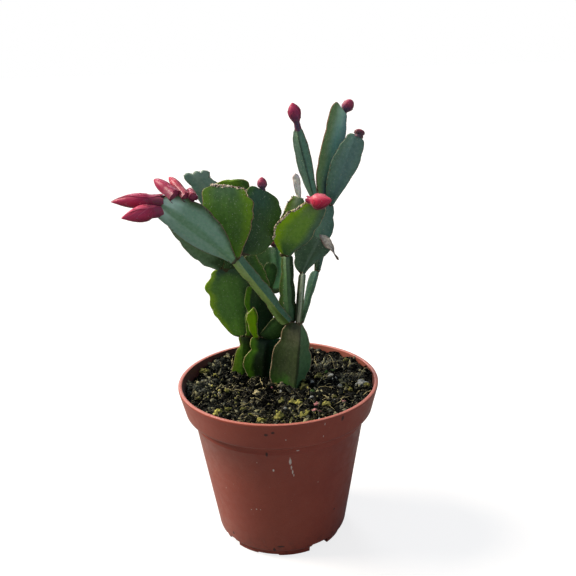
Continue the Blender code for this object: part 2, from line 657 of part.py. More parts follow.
def soil_mesh():
    """Compost as rings of points: up the wall, then inwards over the top."""
    shell = bmesh.new()
    rings = [[] for _ in range(len(soil_wall()) + SOIL_RINGS)]
    for k in range(SOIL_SECTORS):
        angle = 2 * math.pi * k / SOIL_SECTORS
        outward = Vector((math.cos(angle), math.sin(angle), 0))
        for ring, (radius, height) in zip(rings, soil_wall()):
            ring.append(shell.verts.new((outward * radius + Vector((0, 0, height))) * MM))
        rim = outward * COLLAR_FOOT_RADIUS
        reach = wall_radius(soil_height(rim.x, rim.y)) - 2 * GAP
        for i, ring in enumerate(rings[len(soil_wall()):]):
            place = outward * reach * (1 - i / SOIL_RINGS)
            place.z = soil_height(place.x, place.y)
            ring.append(shell.verts.new(place * MM))
    bottom = shell.verts.new(Vector((0, 0, FLOOR_TOP + GAP)) * MM)
    top = shell.verts.new(Vector((0, 0, soil_height(0, 0))) * MM)
    for k in range(SOIL_SECTORS):
        after = (k + 1) % SOIL_SECTORS
        shell.faces.new((bottom, rings[0][after], rings[0][k]))
        shell.faces.new((top, rings[-1][k], rings[-1][after]))
        for lower, upper in zip(rings, rings[1:]):
            shell.faces.new((lower[k], lower[after], upper[after], upper[k]))
    bmesh.ops.recalc_face_normals(shell, faces=shell.faces)
    data = bpy.data.meshes.new("soil")
    shell.to_mesh(data)
    shell.free()
    return data


def make_soil(collection, cutters, parent):
    """The compost, with a plain hole for each pad that stands in it."""
    soil = add_object("soil", soil_mesh(), material_of("peat", "2c2b24", 0.95), collection, parent)
    for name, spec in PADS.items():
        if "on" in spec:
            continue
        pocket = Pad({}, spec, grow=POCKET_GROWTH)
        pocket.base = pocket.base - pocket.along
        pocket.length += 1
        cutter = bpy.data.objects.new(f"{name}_pocket", pocket.mesh(f"{name}_pocket"))
        use_as_cutter(soil, cutter, cutters, parent)
    return soil


def make_pads(collection, parent):
    pads = {}
    for name, spec in PADS.items():
        pads[name] = Pad(pads, spec)
        material = material_of(f"{name}_skin", spec["colour"], 0.5)
        add_object(name, pads[name].mesh(name), material, collection, parent)
    return pads


def make_buds(pads, collection, parent):
    for name, spec in BUDS.items():
        frame = Pad(pads, spec, neck=BUD_FOOT * spec["radius"])
        data = bud_mesh(name, frame, spec)
        material = material_of(f"{name}_petals", "a42449", 0.4)
        add_object(name, data, material, collection, parent)


def make_remnants(pads, collection, parent):
    for name, spec in REMNANTS.items():
        frame = Pad(pads, spec, neck=DRY_NECK, margin=DRY_MARGIN)
        material = material_of(f"{name}_paper", spec["colour"], 0.8)
        add_object(name, frame.mesh(name), material, collection, parent)


def middle_and_bottom(collection):
    """The middle and the lowest point of the model's box."""
    graph = bpy.context.evaluated_depsgraph_get()
    low = Vector((1e9, 1e9, 1e9))
    high = -low
    for piece in collection.objects:
        evaluated = piece.evaluated_get(graph)
        for corner in evaluated.to_mesh().vertices:
            place = evaluated.matrix_world @ corner.co
            low = Vector(map(min, low, place))
            high = Vector(map(max, high, place))
        evaluated.to_mesh_clear()
    return (low + high) / 2, low.z


def main():
    for piece in list(bpy.data.objects):
        bpy.data.objects.remove(piece)
    collection = bpy.data.collections.new(OBJECT_NAME)
    cutters = bpy.data.collections.new("cutters")
    bpy.context.scene.collection.children.link(collection)
    bpy.context.scene.collection.children.link(cutters)
    stand = bpy.data.objects.new("stand", None)
    bpy.context.scene.collection.objects.link(stand)
    make_pot(collection, cutters, stand)
    make_soil(collection, cutters, stand)
    pads = make_pads(collection, stand)
    make_buds(pads, collection, stand)
    make_remnants(pads, collection, stand)
    bpy.context.view_layer.update()
    middle, bottom = middle_and_bottom(collection)
    stand.location = (-middle.x, -middle.y, -bottom)


main()
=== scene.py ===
import math
import random

import bpy
import numpy as np
from mathutils import Matrix, Vector, noise


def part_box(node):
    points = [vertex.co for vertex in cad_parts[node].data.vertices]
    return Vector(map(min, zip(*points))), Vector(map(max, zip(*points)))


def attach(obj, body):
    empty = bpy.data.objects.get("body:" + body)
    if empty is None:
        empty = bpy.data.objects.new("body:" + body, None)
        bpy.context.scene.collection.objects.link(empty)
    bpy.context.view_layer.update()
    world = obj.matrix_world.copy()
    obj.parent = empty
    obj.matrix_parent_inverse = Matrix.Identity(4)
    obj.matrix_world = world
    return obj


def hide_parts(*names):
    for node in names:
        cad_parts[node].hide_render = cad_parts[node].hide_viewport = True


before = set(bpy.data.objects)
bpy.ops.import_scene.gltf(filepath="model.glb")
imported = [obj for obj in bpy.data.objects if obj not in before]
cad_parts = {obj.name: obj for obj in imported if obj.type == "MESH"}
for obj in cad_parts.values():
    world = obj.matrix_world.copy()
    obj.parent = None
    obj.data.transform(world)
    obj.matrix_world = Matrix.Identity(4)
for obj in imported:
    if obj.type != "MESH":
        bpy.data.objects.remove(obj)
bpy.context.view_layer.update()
bpy.ops.object.select_all(action="DESELECT")
print("frame loaded")

# everything below is in millimetres, with the pot's axis at x = 0 and y = 0, until it is placed
mm = 0.001
potLow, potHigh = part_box("pot")
potAxis = Vector(((potLow[0] + potHigh[0]) / 2, (potLow[1] + potHigh[1]) / 2, 0))
towardsFront = Vector((0, -1, 0))
jointGap = 0.3  # room the cad leaves between pads


def toWorld(point):
    return Vector(point) * mm + potAxis


def linear(code):
    # sRGB hex to a linear colour
    parts = []
    for start in (0, 2, 4):
        value = int(code[start:start + 2], 16) / 255
        parts.append(value / 12.92 if value <= 0.04045 else ((value + 0.055) / 1.055) ** 2.4)
    return (*parts, 1)


# helpers for materials
def addNode(tree, kind, settings=None, links=()):
    # one shader node, with its settings, its socket values and what feeds it
    node = tree.nodes.new("ShaderNode" + kind)
    for key, value in (settings or {}).items():
        if key == "ramp":
            elements = node.color_ramp.elements
            while len(elements) < len(value):
                elements.new(1)
            for element, (place, code) in zip(elements, value):
                element.position = place
                element.color = linear(code)
        elif isinstance(key, str) and hasattr(node, key):
            setattr(node, key, value)
        else:
            node.inputs[key].default_value = value
    for socket, source in links:
        tree.links.new(source, node.inputs[socket])
    return node


def newMaterial(name, settings):
    material = bpy.data.materials.new(name)
    material.use_nodes = True
    tree = material.node_tree
    shader = tree.nodes["Principled BSDF"]
    for key, value in settings.items():
        shader.inputs[key].default_value = value
    return material, tree, shader


def mixColours(tree, factor, first, second, blend="MIX"):
    # second over first by factor, each a hex code or a socket
    node = addNode(tree, "Mix", {"data_type": "RGBA", "blend_type": blend})
    for index, given in ((0, factor), (6, first), (7, second)):
        if isinstance(given, str):
            node.inputs[index].default_value = linear(given)
        elif isinstance(given, (int, float)):
            node.inputs[index].default_value = given
        else:
            tree.links.new(given, node.inputs[index])
    return node.outputs[2]


def fade(tree, source, low, high, toLow=0.0, toHigh=1.0):
    # a smooth step of a value between two limits
    settings = {"interpolation_type": "SMOOTHSTEP", 1: low, 2: high, 3: toLow, 4: toHigh}
    return addNode(tree, "MapRange", settings, [(0, source)]).outputs[0]


def calc(tree, operation, first, second=0.0):
    node = addNode(tree, "Math", {"operation": operation})
    for index, given in ((0, first), (1, second)):
        if isinstance(given, (int, float)):
            node.inputs[index].default_value = given
        else:
            tree.links.new(given, node.inputs[index])
    return node.outputs[0]


def readAttribute(tree, name):
    return addNode(tree, "Attribute", {"attribute_name": name}).outputs["Fac"]


def grain(tree, size, detail=2.0, vector=None, roughness=0.5):
    # noise whose features are about this many millimetres across
    if vector is None:
        vector = addNode(tree, "TexCoord").outputs["Object"]
    settings = {"Scale": 1 / (size * mm), "Detail": detail, "Roughness": roughness}
    return addNode(tree, "TexNoise", settings, [("Vector", vector)]).outputs["Fac"]


def bumpFrom(tree, shader, layers):
    # layers of (height socket, depth in mm), added up in one chain
    normal = None
    for height, depth in layers:
        links = [("Height", height)]
        if normal is not None:
            links.append(("Normal", normal))
        node = addNode(tree, "Bump", {"Strength": 1.0, "Distance": depth * mm}, links)
        normal = node.outputs[0]
    tree.links.new(normal, shader.inputs["Normal"])


def surface(tree, shader, tone, rough, layers):
    # ends a finish: its colour, its roughness as (grain in mm, detail, least, most), and its bump
    size, detail, least, most = rough
    roughness = fade(tree, grain(tree, size, detail), 0.3, 0.7, least, most)
    tree.links.new(tone, shader.inputs["Base Color"])
    tree.links.new(roughness, shader.inputs["Roughness"])
    bumpFrom(tree, shader, layers)


def blotch(tree, tone, colour, size, detail, low, high, most=1.0):
    # a colour laid over a tone where noise of this size rises from one limit to the other
    return mixColours(tree, fade(tree, grain(tree, size, detail), low, high, 0, most), tone, colour)


def swing(tree, size, detail, reach):
    # noise that swings both ways about zero
    return calc(tree, "MULTIPLY", calc(tree, "SUBTRACT", grain(tree, size, detail), 0.5), reach)


def byTint(tree, ramp):
    # a colour from the tint of each small copy
    return addNode(tree, "ValToRGB", {"ramp": ramp}, [(0, readAttribute(tree, "tint"))]).outputs[0]


def awayFrom(tree, place, scale):
    # how far the surface lies from a place given in mm, with each axis scaled
    coords = addNode(tree, "TexCoord").outputs["Object"]
    moved = addNode(tree, "VectorMath", {"operation": "SUBTRACT", 1: toWorld(place)}, [(0, coords)])
    scaled = addNode(tree, "Mapping", {"Scale": scale}, [(0, moved.outputs[0])]).outputs[0]
    return addNode(tree, "VectorMath", {"operation": "LENGTH"}, [(0, scaled)]).outputs["Value"]


# helpers for meshes
def pickOnly(piece):
    bpy.ops.object.select_all(action="DESELECT")
    piece.select_set(True)
    bpy.context.view_layer.objects.active = piece


def editAll(piece):
    pickOnly(piece)
    bpy.ops.object.mode_set(mode="EDIT")
    bpy.ops.mesh.select_all(action="SELECT")


def leaveEdit():
    bpy.ops.object.mode_set(mode="OBJECT")
    bpy.ops.object.select_all(action="DESELECT")


def coordsOf(data):
    flat = np.empty(len(data.vertices) * 3)
    data.vertices.foreach_get("co", flat)
    return flat.reshape(-1, 3)


def putCoords(data, points):
    data.vertices.foreach_set("co", np.asarray(points, float).ravel())
    data.update()


def putAttribute(data, name, values):
    layer = data.attributes.new(name, "FLOAT", "POINT")
    layer.data.foreach_set("value", np.asarray(values, np.float32))


def finishPiece(piece, name, nodes, material, angle=None):
    # names a piece, smooths it, gives it its finish and ties it to the frame
    piece.name = name
    piece.data.name = name
    piece.data.materials.clear()
    piece.data.materials.append(material)
    pickOnly(piece)
    if angle is None:
        bpy.ops.object.shade_smooth()
    else:
        bpy.ops.object.shade_smooth_by_angle(angle=math.radians(angle))
    piece.select_set(False)
    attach(piece, "root")
    if nodes:
        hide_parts(*nodes)
    return piece


def applyAll(piece):
    bpy.context.view_layer.objects.active = piece
    for modifier in list(piece.modifiers):
        bpy.ops.object.modifier_apply(modifier=modifier.name)


def meshOf(points, faces, name):
    data = bpy.data.meshes.new(name)
    data.from_pydata([tuple(point) for point in points], [], [tuple(face) for face in faces])
    data.update()
    piece = bpy.data.objects.new(name, data)
    bpy.context.scene.collection.objects.link(piece)
    return piece


def facesOf(data):
    return [tuple(face.vertices) for face in data.polygons]


def scatter(name, models, places):
    # one mesh from many placed copies: each place is (model number, 3x3 matrix, centre in mm, tint)
    points, faces, tints, start = [], [], [], 0
    shapes = [(coordsOf(model.data), facesOf(model.data)) for model in models]
    for number, matrix, centre, tint in places:
        coords, polygons = shapes[number]
        placed = coords @ np.array(matrix).T + np.array(centre)
        points.append(placed)
        faces += [tuple(start + index for index in polygon) for polygon in polygons]
        tints += [tint] * len(coords)
        start += len(coords)
    world = np.concatenate(points) * mm + np.array(potAxis)
    piece = meshOf(world, faces, name)
    putAttribute(piece.data, "tint", tints)
    return piece


def lump(subdivisions, roughness, seed, stretch=(1, 1, 1)):
    # a crumb, about 1 across before it is scaled: an ico sphere with noise pushed into it
    bpy.ops.object.select_all(action="DESELECT")
    bpy.ops.mesh.primitive_ico_sphere_add(subdivisions=subdivisions, radius=0.5)
    piece = bpy.context.object
    coords = coordsOf(piece.data)
    for i, coord in enumerate(coords):
        push = 1 + roughness * noise.noise(Vector(coord) * 3.1 + Vector((seed, 0, 0)))
        coords[i] = coord * push * np.array(stretch)
    putCoords(piece.data, coords)
    return piece


def forget(pieces):
    for piece in pieces:
        bpy.data.objects.remove(piece)


# camera, at the place that the pot's rim and foot give
view = dict(
    place=(7.56, -436.66, 298.28), pitch=18.03, roll=1.71, lens=49.34, sensor=36.0, frameSize=576,
    nearest=0.01, farthest=20.0, rayStep=0.25, raySteps=2400
)


def viewAxes():
    pitch = math.radians(view["pitch"])
    roll = math.radians(view["roll"])
    forward = Vector((0, math.cos(pitch), -math.sin(pitch)))
    up = Vector((0, math.sin(pitch), math.cos(pitch)))
    right = Vector((1, 0, 0))
    turnedRight = right * math.cos(roll) - up * math.sin(roll)
    turnedUp = up * math.cos(roll) + right * math.sin(roll)
    return turnedRight, turnedUp, forward


def makeCamera():
    right, up, forward = viewAxes()
    data = bpy.data.cameras.new("camera")
    data.lens = view["lens"]
    data.sensor_width = view["sensor"]
    data.clip_start = view["nearest"]
    data.clip_end = view["farthest"]
    camera = bpy.data.objects.new("camera", data)
    turned = Matrix((right, up, -forward)).transposed().to_4x4()
    camera.matrix_world = Matrix.Translation(toWorld(view["place"])) @ turned
    bpy.context.scene.collection.objects.link(camera)
    bpy.context.scene.camera = camera


def rayAt(u, v):
    # direction, in mm space, through a pixel of the photograph
    right, up, forward = viewAxes()
    focal = view["lens"] / view["sensor"] * view["frameSize"]
    half = view["frameSize"] / 2
    return forward + right * ((u - half) / focal) - up * ((v - half) / focal)


makeCamera()
print("camera made")


# light and floor
studio = dict(
    worldLight=0.2, skyTint="dde6f2", keyStrength=4.3, keyAngle=32, keyFrom=(-1.0, 0.16, 0.9),
    keyTint="fff2e2", rimStrength=0.7, rimAngle=20, rimFrom=(-0.25, 1.0, 0.8), rimTint="f2f7ff",
    fillPower=1.35, fillSize=0.8, fillAt=(0.5, -0.7, 0.5), fillTint="d4e2ff", floorSize=12.0,
    floorGlow=0.78, floorBounce="8a8986", paper="a3a2a0", paperPale="a8a7a5", paperGrain=160
)


def makeLamp(name, kind, energy, direction, code):
    data = bpy.data.lights.new(name, kind)
    data.energy = energy
    data.color = linear(code)[:3]
    lamp = bpy.data.objects.new(name, data)
    lamp.rotation_mode = "QUATERNION"
    lamp.rotation_quaternion = Vector(direction).to_track_quat("Z", "Y")
    bpy.context.scene.collection.objects.link(lamp)
    return lamp


def makeLight():
    # a broad warm key from the left and a little behind, a weak one from behind, and a cool fill
    world = bpy.data.worlds.new("studio")
    bpy.context.scene.world = world
    world.use_nodes = True
    tree = world.node_tree
    background = tree.nodes["Background"]
    seen = addNode(tree, "LightPath").outputs["Is Camera Ray"]
    strength = addNode(tree, "MapRange", {3: studio["worldLight"], 4: 1.0}, [(0, seen)])
    tree.links.new(strength.outputs[0], background.inputs["Strength"])
    tree.links.new(mixColours(tree, seen, studio["skyTint"], "ffffff"), background.inputs["Color"])
    key = makeLamp("key", "SUN", studio["keyStrength"], studio["keyFrom"], studio["keyTint"])
    key.data.angle = math.radians(studio["keyAngle"])
    rim = makeLamp("rim", "SUN", studio["rimStrength"], studio["rimFrom"], studio["rimTint"])
    rim.data.angle = math.radians(studio["rimAngle"])
    fill = makeLamp("fill", "AREA", studio["fillPower"], studio["fillAt"], studio["fillTint"])
    fill.data.size = studio["fillSize"]
    fill.location = studio["fillAt"]


def makeFloor():
    # white studio paper: it looks white, but sends little light back up at the pot
    bpy.ops.object.select_all(action="DESELECT")
    bpy.ops.mesh.primitive_plane_add(size=studio["floorSize"], location=(0, 0, 0))
    floor = bpy.context.object
    floor.name = "floor"
    material, tree, shader = newMaterial("studioPaper", {"Roughness": 0.9, "Specular IOR Level": 0.0})
    seen = addNode(tree, "LightPath").outputs["Is Camera Ray"]
    tone = mixColours(tree, grain(tree, studio["paperGrain"], 3), studio["paper"], studio["paperPale"])
    tree.links.new(mixColours(tree, seen, studio["floorBounce"], tone), shader.inputs["Base Color"])
    shader.inputs["Emission Color"].default_value = linear("ffffff")
    tree.links.new(calc(tree, "MULTIPLY", seen, studio["floorGlow"]), shader.inputs["Emission Strength"])
    floor.data.materials.append(material)


makeLight()
makeFloor()
bpy.context.scene.view_settings.view_transform = "Standard"
print("studio made")


# pot
pot = dict(
    height=99.0, rim=60.0, collar=17.4, collarFoot=56.2, bodyTop=51.8, bodyFoot=39.8, wall=1.7,
    lip=3.0, lipRound=0.5, lipIn=0.42, collarRise=2.6, collarSwell=0.45, ledge=1.6, ringProud=0.22,
    bodyRise=6.2, floorTop=4.8, underside=3.2, foot=37.2, footWidth=4.0, steps=192,
    gaps=4, cutRadius=48.0, drainWidth=10.5, drainWider=3.0, drainTop=5.9, drainInner=31.0,
    drainAngle=36.0, shallowWidth=13.0, shallowDepth=1.0, shallowInner=30.0, shallowAngle=-14.0,
    edge=0.35
)


def potInside():
    # radius and height, from the middle of the inner floor up the wall to the top of the lip
    top, wall = pot["height"], pot["wall"]
    step = top - pot["collar"]
    bore = pot["rim"] - wall - pot["lipRound"]
    return [
        (pot["bodyFoot"] - wall - 1, pot["floorTop"]),
        (pot["bodyFoot"] - wall - 0.3, pot["floorTop"] + 0.3),
        (pot["bodyFoot"] - wall, pot["floorTop"] + 1.2),
        (pot["bodyTop"] - wall, step - 1),
        (pot["bodyTop"] - wall + 1.2, step),
        (pot["collarFoot"] - wall - 0.6, step + 1.2),
        (pot["collarFoot"] - wall, step + 2),
        (bore - 0.6, top - pot["lip"]),
        (bore, top - pot["lipRound"]),
        (bore + 0.14, top - 0.16),
        (bore + pot["lipRound"], top),
    ]


def potCollar():
    # over the lip, down the collar and in under its ledge
    top, rim, collarFoot = pot["height"], pot["rim"], pot["collarFoot"]
    step = top - pot["collar"]
    return [
        (rim - pot["lipRound"], top),
        (rim - 0.15, top - 0.15),
        (rim, top - pot["lipRound"]),
        (rim, top - 1.1),
        (rim - 0.1, top - 1.7),
        (rim - 0.3, top - 2.2),
        (rim - pot["lipIn"], top - pot["lip"]),
        (collarFoot + pot["collarSwell"], step + pot["collarRise"]),
        (collarFoot + 0.2, step + 1.5),
        (collarFoot - 0.25, step + 0.7),
        (collarFoot - 1.1, step + 0.2),
        (collarFoot - 2.2, step),
        (pot["bodyTop"] + 0.9, step - 0.35),
        (pot["bodyTop"] + 0.25, step - 0.9),
        (pot["bodyTop"], step - pot["ledge"]),
    ]


def potBody():
    # a faint moulded ring a little under the ledge, the body's plain taper, and the foot ring
    start = pot["height"] - pot["collar"] - pot["ledge"]
    slope = (pot["bodyTop"] - pot["bodyFoot"]) / (start - pot["bodyRise"])
    proud = pot["ringProud"]
    rings = ((3.2, 0), (3.6, proud), (4.3, proud), (4.7, 0), (30, 0), (55, 0))
    taper = [(pot["bodyTop"] - slope * down + out, start - down) for down, out in rings]
    inner = pot["foot"] - pot["footWidth"]
    return taper + [
        (pot["bodyFoot"], pot["bodyRise"]),
        (pot["bodyFoot"] - 0.4, 5.0),
        (pot["bodyFoot"] - 1.2, 4.2),
        (pot["foot"] + 0.1, 3.4),
        (pot["foot"], 2.6),
        (pot["foot"] - 0.2, 0.4),
        (pot["foot"] - 0.6, 0),
        (inner + 0.3, 0),
        (inner, 0.4),
        (inner - 0.5, pot["underside"]),
    ]


def turnedShell(profile, steps):
    # a circle that is extruded and resized from ring to ring, with a middle point at both ends
    bpy.ops.object.select_all(action="DESELECT")
    radius, height = profile[0]
    bpy.ops.mesh.primitive_circle_add(
        vertices=steps, radius=radius * mm, fill_type="TRIFAN", location=(0, 0, height * mm)
    )
    piece = bpy.context.object
    bpy.ops.object.transform_apply(location=True)
    editAll(piece)
    bpy.ops.mesh.region_to_loop()
    for nextRadius, nextHeight in profile[1:]:
        bpy.ops.mesh.extrude_edges_move(
            TRANSFORM_OT_translate={"value": (0, 0, (nextHeight - height) * mm)}
        )
        ratio = nextRadius / radius
        bpy.ops.transform.resize(value=(ratio, ratio, 1), center_override=(0, 0, nextHeight * mm))
        radius, height = nextRadius, nextHeight
    bpy.ops.mesh.edge_face_add()
    bpy.ops.mesh.poke()
    bpy.ops.mesh.select_all(action="SELECT")
    bpy.ops.mesh.normals_make_consistent(inside=False)
    leaveEdit()
    return piece


def cutGaps(piece, label, width, top, inner, firstAngle, wider=0.0):
    # gaps through the foot ring, one box for each, cut with a Boolean, the first one wider
    for i in range(pot["gaps"]):
        gapWidth = width + (wider if i == 0 else 0)
        angle = math.radians(firstAngle + 360 * i / pot["gaps"] - 90)
        depth = pot["cutRadius"] - inner
        middle = inner + depth / 2
        bpy.ops.mesh.primitive_cube_add(size=1)
        cutter = bpy.context.object
        cutter.scale = (depth * mm, gapWidth * mm, (top + 2) * mm)
        cutter.rotation_euler = (0, 0, angle)
        cutter.location = Vector((middle * math.cos(angle), middle * math.sin(angle), (top - 2) / 2)) * mm
        bpy.ops.object.transform_apply(location=True, rotation=True, scale=True)
        rounding = cutter.modifiers.new("rounding", "BEVEL")
        rounding.width = pot["edge"] * 2 * mm
        rounding.segments = 3
        applyAll(cutter)
        cut = piece.modifiers.new(f"{label}{i}", "BOOLEAN")
        cut.operation = "DIFFERENCE"
        cut.object = cutter
        bpy.context.view_layer.objects.active = piece
        bpy.ops.object.modifier_apply(modifier=cut.name)
        bpy.data.objects.remove(cutter)


# the lip colour is a painted highlight along the top of the rim; the inside colour is painted shade on the
# inner wall, and the lit inside colour is painted light on its right side
potLook = dict(
    body="9c4534", warm="a34b38", shade="914030", lip="cf7c6c", dust="b9a397", soilStain="5a3026",
    scuff="e8dfd6", mark="2a1614", inside="52251f", insidePaintedLight="8c4a39",
    roughness=0.44, specular=0.5, sheen=0.12
)
# scuffs and marks on the wall: pixel, radius in mm, upright stretch, colour
potMarks = (
    ((290.2, 461), 0.7, 3.2, "scuff"), ((291.3, 466), 0.45, 5, "scuff"), ((292.6, 471), 0.4, 5, "scuff"),
    ((289.9, 456.5), 0.22, 9, "scuff"), ((293.8, 474), 0.25, 7, "scuff"), ((273.4, 470), 0.55, 1.6, "scuff"),
    ((297.5, 450.4), 0.9, 0.35, "scuff"),
    ((251.5, 509.4), 0.3, 1, "scuff"), ((256.5, 509), 0.4, 1, "scuff"), ((260.6, 509.4), 0.35, 1, "scuff"),
    ((226.5, 487.5), 0.3, 1, "scuff"), ((257, 462.5), 0.3, 1, "scuff"), ((244.2, 453), 0.35, 1, "scuff"),
    ((285.8, 440), 0.3, 1, "scuff"), ((291.4, 500.2), 0.3, 1, "scuff"), ((325, 424), 0.18, 12, "scuff"),
    ((323.4, 436), 0.15, 14, "scuff"), ((318, 480), 0.12, 20, "scuff"), ((266.8, 454), 0.8, 2.0, "mark"),
    ((342.6, 418), 0.9, 2.2, "mark"), ((272.7, 433), 1.0, 0.8, "mark"), ((266, 435), 1.1, 0.8, "mark"),
    ((233.7, 532.5), 0.8, 1.2, "mark"), ((334, 508.8), 0.64, 1, "mark"), ((211.3, 441), 0.56, 1, "mark"),
    ((205, 440), 0.56, 0.8, "mark"), ((281, 546.5), 2.08, 0.3, "mark"), ((274.5, 550), 0.8, 2.2, "mark"),
)


def onPot(pixel):
    # where a pixel's ray, followed in small steps, first meets the outer cone of the collar or the body
    ray = rayAt(*pixel).normalized() * view["rayStep"]
    place = Vector(view["place"])
    step = pot["height"] - pot["collar"]
    collarLow = pot["collarFoot"] + pot["collarSwell"]
    for _ in range(view["raySteps"]):
        place += ray
        if place.z > step:
            share = (place.z - step - pot["collarRise"]) / (pot["collar"] - pot["collarRise"] - pot["lip"])
            radius = collarLow + (pot["rim"] - pot["lipIn"] - collarLow) * share
        else:
            share = (place.z - pot["bodyRise"]) / (step - pot["bodyRise"])
            radius = pot["bodyFoot"] + (pot["bodyTop"] - pot["bodyFoot"]) * share
        if math.hypot(place.x, place.y) < radius:
            break
    return place


def potPlastic():
    # moulded polypropylene: an even warm brown with a soft broad gloss, fine scratches and handling scuffs
    settings = {"IOR": 1.49, "Specular IOR Level": potLook["specular"], "Sheen Weight": potLook["sheen"]}
    material, tree, shader = newMaterial("mouldedPolypropylene", settings)
    coords = addNode(tree, "TexCoord").outputs["Object"]
    parts = addNode(tree, "SeparateXYZ", links=[(0, coords)]).outputs
    height = parts[2]
    tone = blotch(tree, potLook["body"], potLook["warm"], 30, 2, 0.35, 0.65)
    tone = blotch(tree, tone, potLook["shade"], 0.7, 2, 0.45, 0.7, 0.5)
    # painted highlight: the lip colour laid along the top of the rim
    paintedLipHighlight = fade(tree, height, (pot["height"] - 0.5) * mm, (pot["height"] - 0.15) * mm, 0, 0.9)
    tone = mixColours(tree, paintedLipHighlight, tone, potLook["lip"])
    # upright dusty scratches, soil splashed near the foot, and specks of dust
    stretch = addNode(tree, "Mapping", {"Scale": (1, 1, 0.16)}, [(0, coords)]).outputs[0]
    streaks = grain(tree, 1.1, 3, stretch)
    tone = mixColours(tree, fade(tree, streaks, 0.70, 0.78, 0, 0.14), tone, potLook["dust"])
    low = fade(tree, height, 20 * mm, 3 * mm, 0, 0.3)
    splash = calc(tree, "MULTIPLY", low, fade(tree, grain(tree, 3.4, 4), 0.48, 0.62))
    tone = mixColours(tree, splash, tone, potLook["soilStain"])
    tone = blotch(tree, tone, potLook["dust"], 0.9, 1, 0.775, 0.80, 0.45)
    for pixel, radius, stretched, kind in potMarks:
        away = awayFrom(tree, onPot(pixel), (1, 1, 1 / stretched))
        ragged = calc(tree, "ADD", away, calc(tree, "MULTIPLY", grain(tree, 0.8, 2), 0.8 * radius * mm))
        mask = fade(tree, ragged, 1.7 * radius * mm, 1.1 * radius * mm, 0, 0.9)
        tone = mixColours(tree, mask, tone, potLook[kind])
    # inside, from the collar's foot to the lip, painted shade darkens the wall, most on its left, and painted
    # light lifts it towards its right
    widening = (pot["rim"] - 0.4 - pot["collarFoot"]) / (pot["collar"] - 3)
    foot = (pot["collarFoot"] - widening * (pot["height"] - pot["collar"])) * mm
    outer = calc(tree, "ADD", calc(tree, "MULTIPLY", height, widening), foot)
    radius = awayFrom(tree, (0, 0, 0), (1, 1, 0))
    inside = fade(tree, calc(tree, "SUBTRACT", outer, radius), 0.8 * mm, 1.1 * mm)
    collarFoot = pot["height"] - pot["collar"] + 2
    for begin, end in ((pot["height"] - 0.25, pot["height"] - 0.7), (collarFoot, collarFoot + 1)):
        inside = calc(tree, "MULTIPLY", inside, fade(tree, height, begin * mm, end * mm))
    sideways = calc(tree, "SUBTRACT", parts[0], potAxis.x)
    lit = calc(tree, "ADD", sideways, swing(tree, 9, 4, 40 * mm))
    paintedInsideShade = mixColours(tree, fade(tree, lit, -10 * mm, 30 * mm), potLook["inside"], potLook["insidePaintedLight"])
    tone = mixColours(tree, inside, tone, paintedInsideShade)
    rough = (5, 4, potLook["roughness"] - 0.07, potLook["roughness"] + 0.1)
    layers = [(grain(tree, 0.45, 2), 0.012), (streaks, 0.006), (grain(tree, 22, 1), 0.05)]
    surface(tree, shader, tone, rough, layers)
    return material


def makePot():
    piece = turnedShell(potInside() + potCollar() + potBody(), pot["steps"])
    cutGaps(
        piece, "drain", pot["drainWidth"], pot["drainTop"], pot["drainInner"], pot["drainAngle"],
        pot["drainWider"]
    )
    cutGaps(
        piece, "shallow", pot["shallowWidth"], pot["shallowDepth"], pot["shallowInner"], pot["shallowAngle"]
    )
    putCoords(piece.data, coordsOf(piece.data) + np.array(potAxis))
    finishPiece(piece, "potShell", ["pot"], potPlastic(), 35)


makePot()
print("pot made")


# compost
compost = dict(
    level=91.3, slope=1.2, dish=2.2, clod=2.6, clodSize=9.0, sectors=220, rings=74, floorGap=0.3,
    wallGap=0.5, fine=0.8, fineSize=1.9, bank=2.6, bankFrom=38.0, bankWidth=16.0, patchSquash=1.5
)


def bankHeight(x, y):
    # the compost lies higher against the back and right of the wall
    near = (math.hypot(x, y) - compost["bankFrom"]) / compost["bankWidth"]
    behind = max(0.0, (y + 0.5 * x + 20) / 60)
    return compost["bank"] * max(0.0, min(1.0, near)) ** 1.5 * min(1.0, behind)


def compostHeight(x, y):
    # the cad's own clods
    lean = compost["slope"] * (x - 0.5 * y) / pot["rim"]
    dish = compost["dish"] * (math.hypot(x, y) / pot["collarFoot"]) ** 3
    clods = noise.noise(Vector((x, y, 3.0)) / compost["clodSize"])
    smaller = noise.noise(Vector((x, y, 9.0)) / (0.4 * compost["clodSize"]))
    return compost["level"] + lean + dish + bankHeight(x, y) + compost["clod"] * (clods + 0.4 * smaller)


def fineHeight(x, y):
    # crumbly peat over them
    small = noise.noise(Vector((x, y, 20.0)) / compost["fineSize"])
    smaller = noise.noise(Vector((x, y, 31.0)) / (0.45 * compost["fineSize"]))
    rise = abs(small) * 1.8 - 0.5 + 0.6 * smaller + 1.6 * lightShadeAt(x, y)
    return compostHeight(x, y) + compost["fine"] * rise


def collarInner(height):
    low = (pot["collarFoot"] - pot["wall"], pot["height"] - pot["collar"] + 2)
    high = (pot["rim"] - pot["wall"] - 1.1, pot["height"] - pot["lip"])
    return low[0] + (high[0] - low[0]) * (height - low[1]) / (high[1] - low[1])


def onCompost(pixel):
    # where a pixel's ray meets the compost: first its plain level, then twice closer to its clods
    start = Vector(view["place"])
    ray = rayAt(*pixel)
    level = compost["level"]
    for _ in range(3):
        place = start + ray * ((level - start.z) / ray.z)
        level = compostHeight(place.x, place.y)
    return place


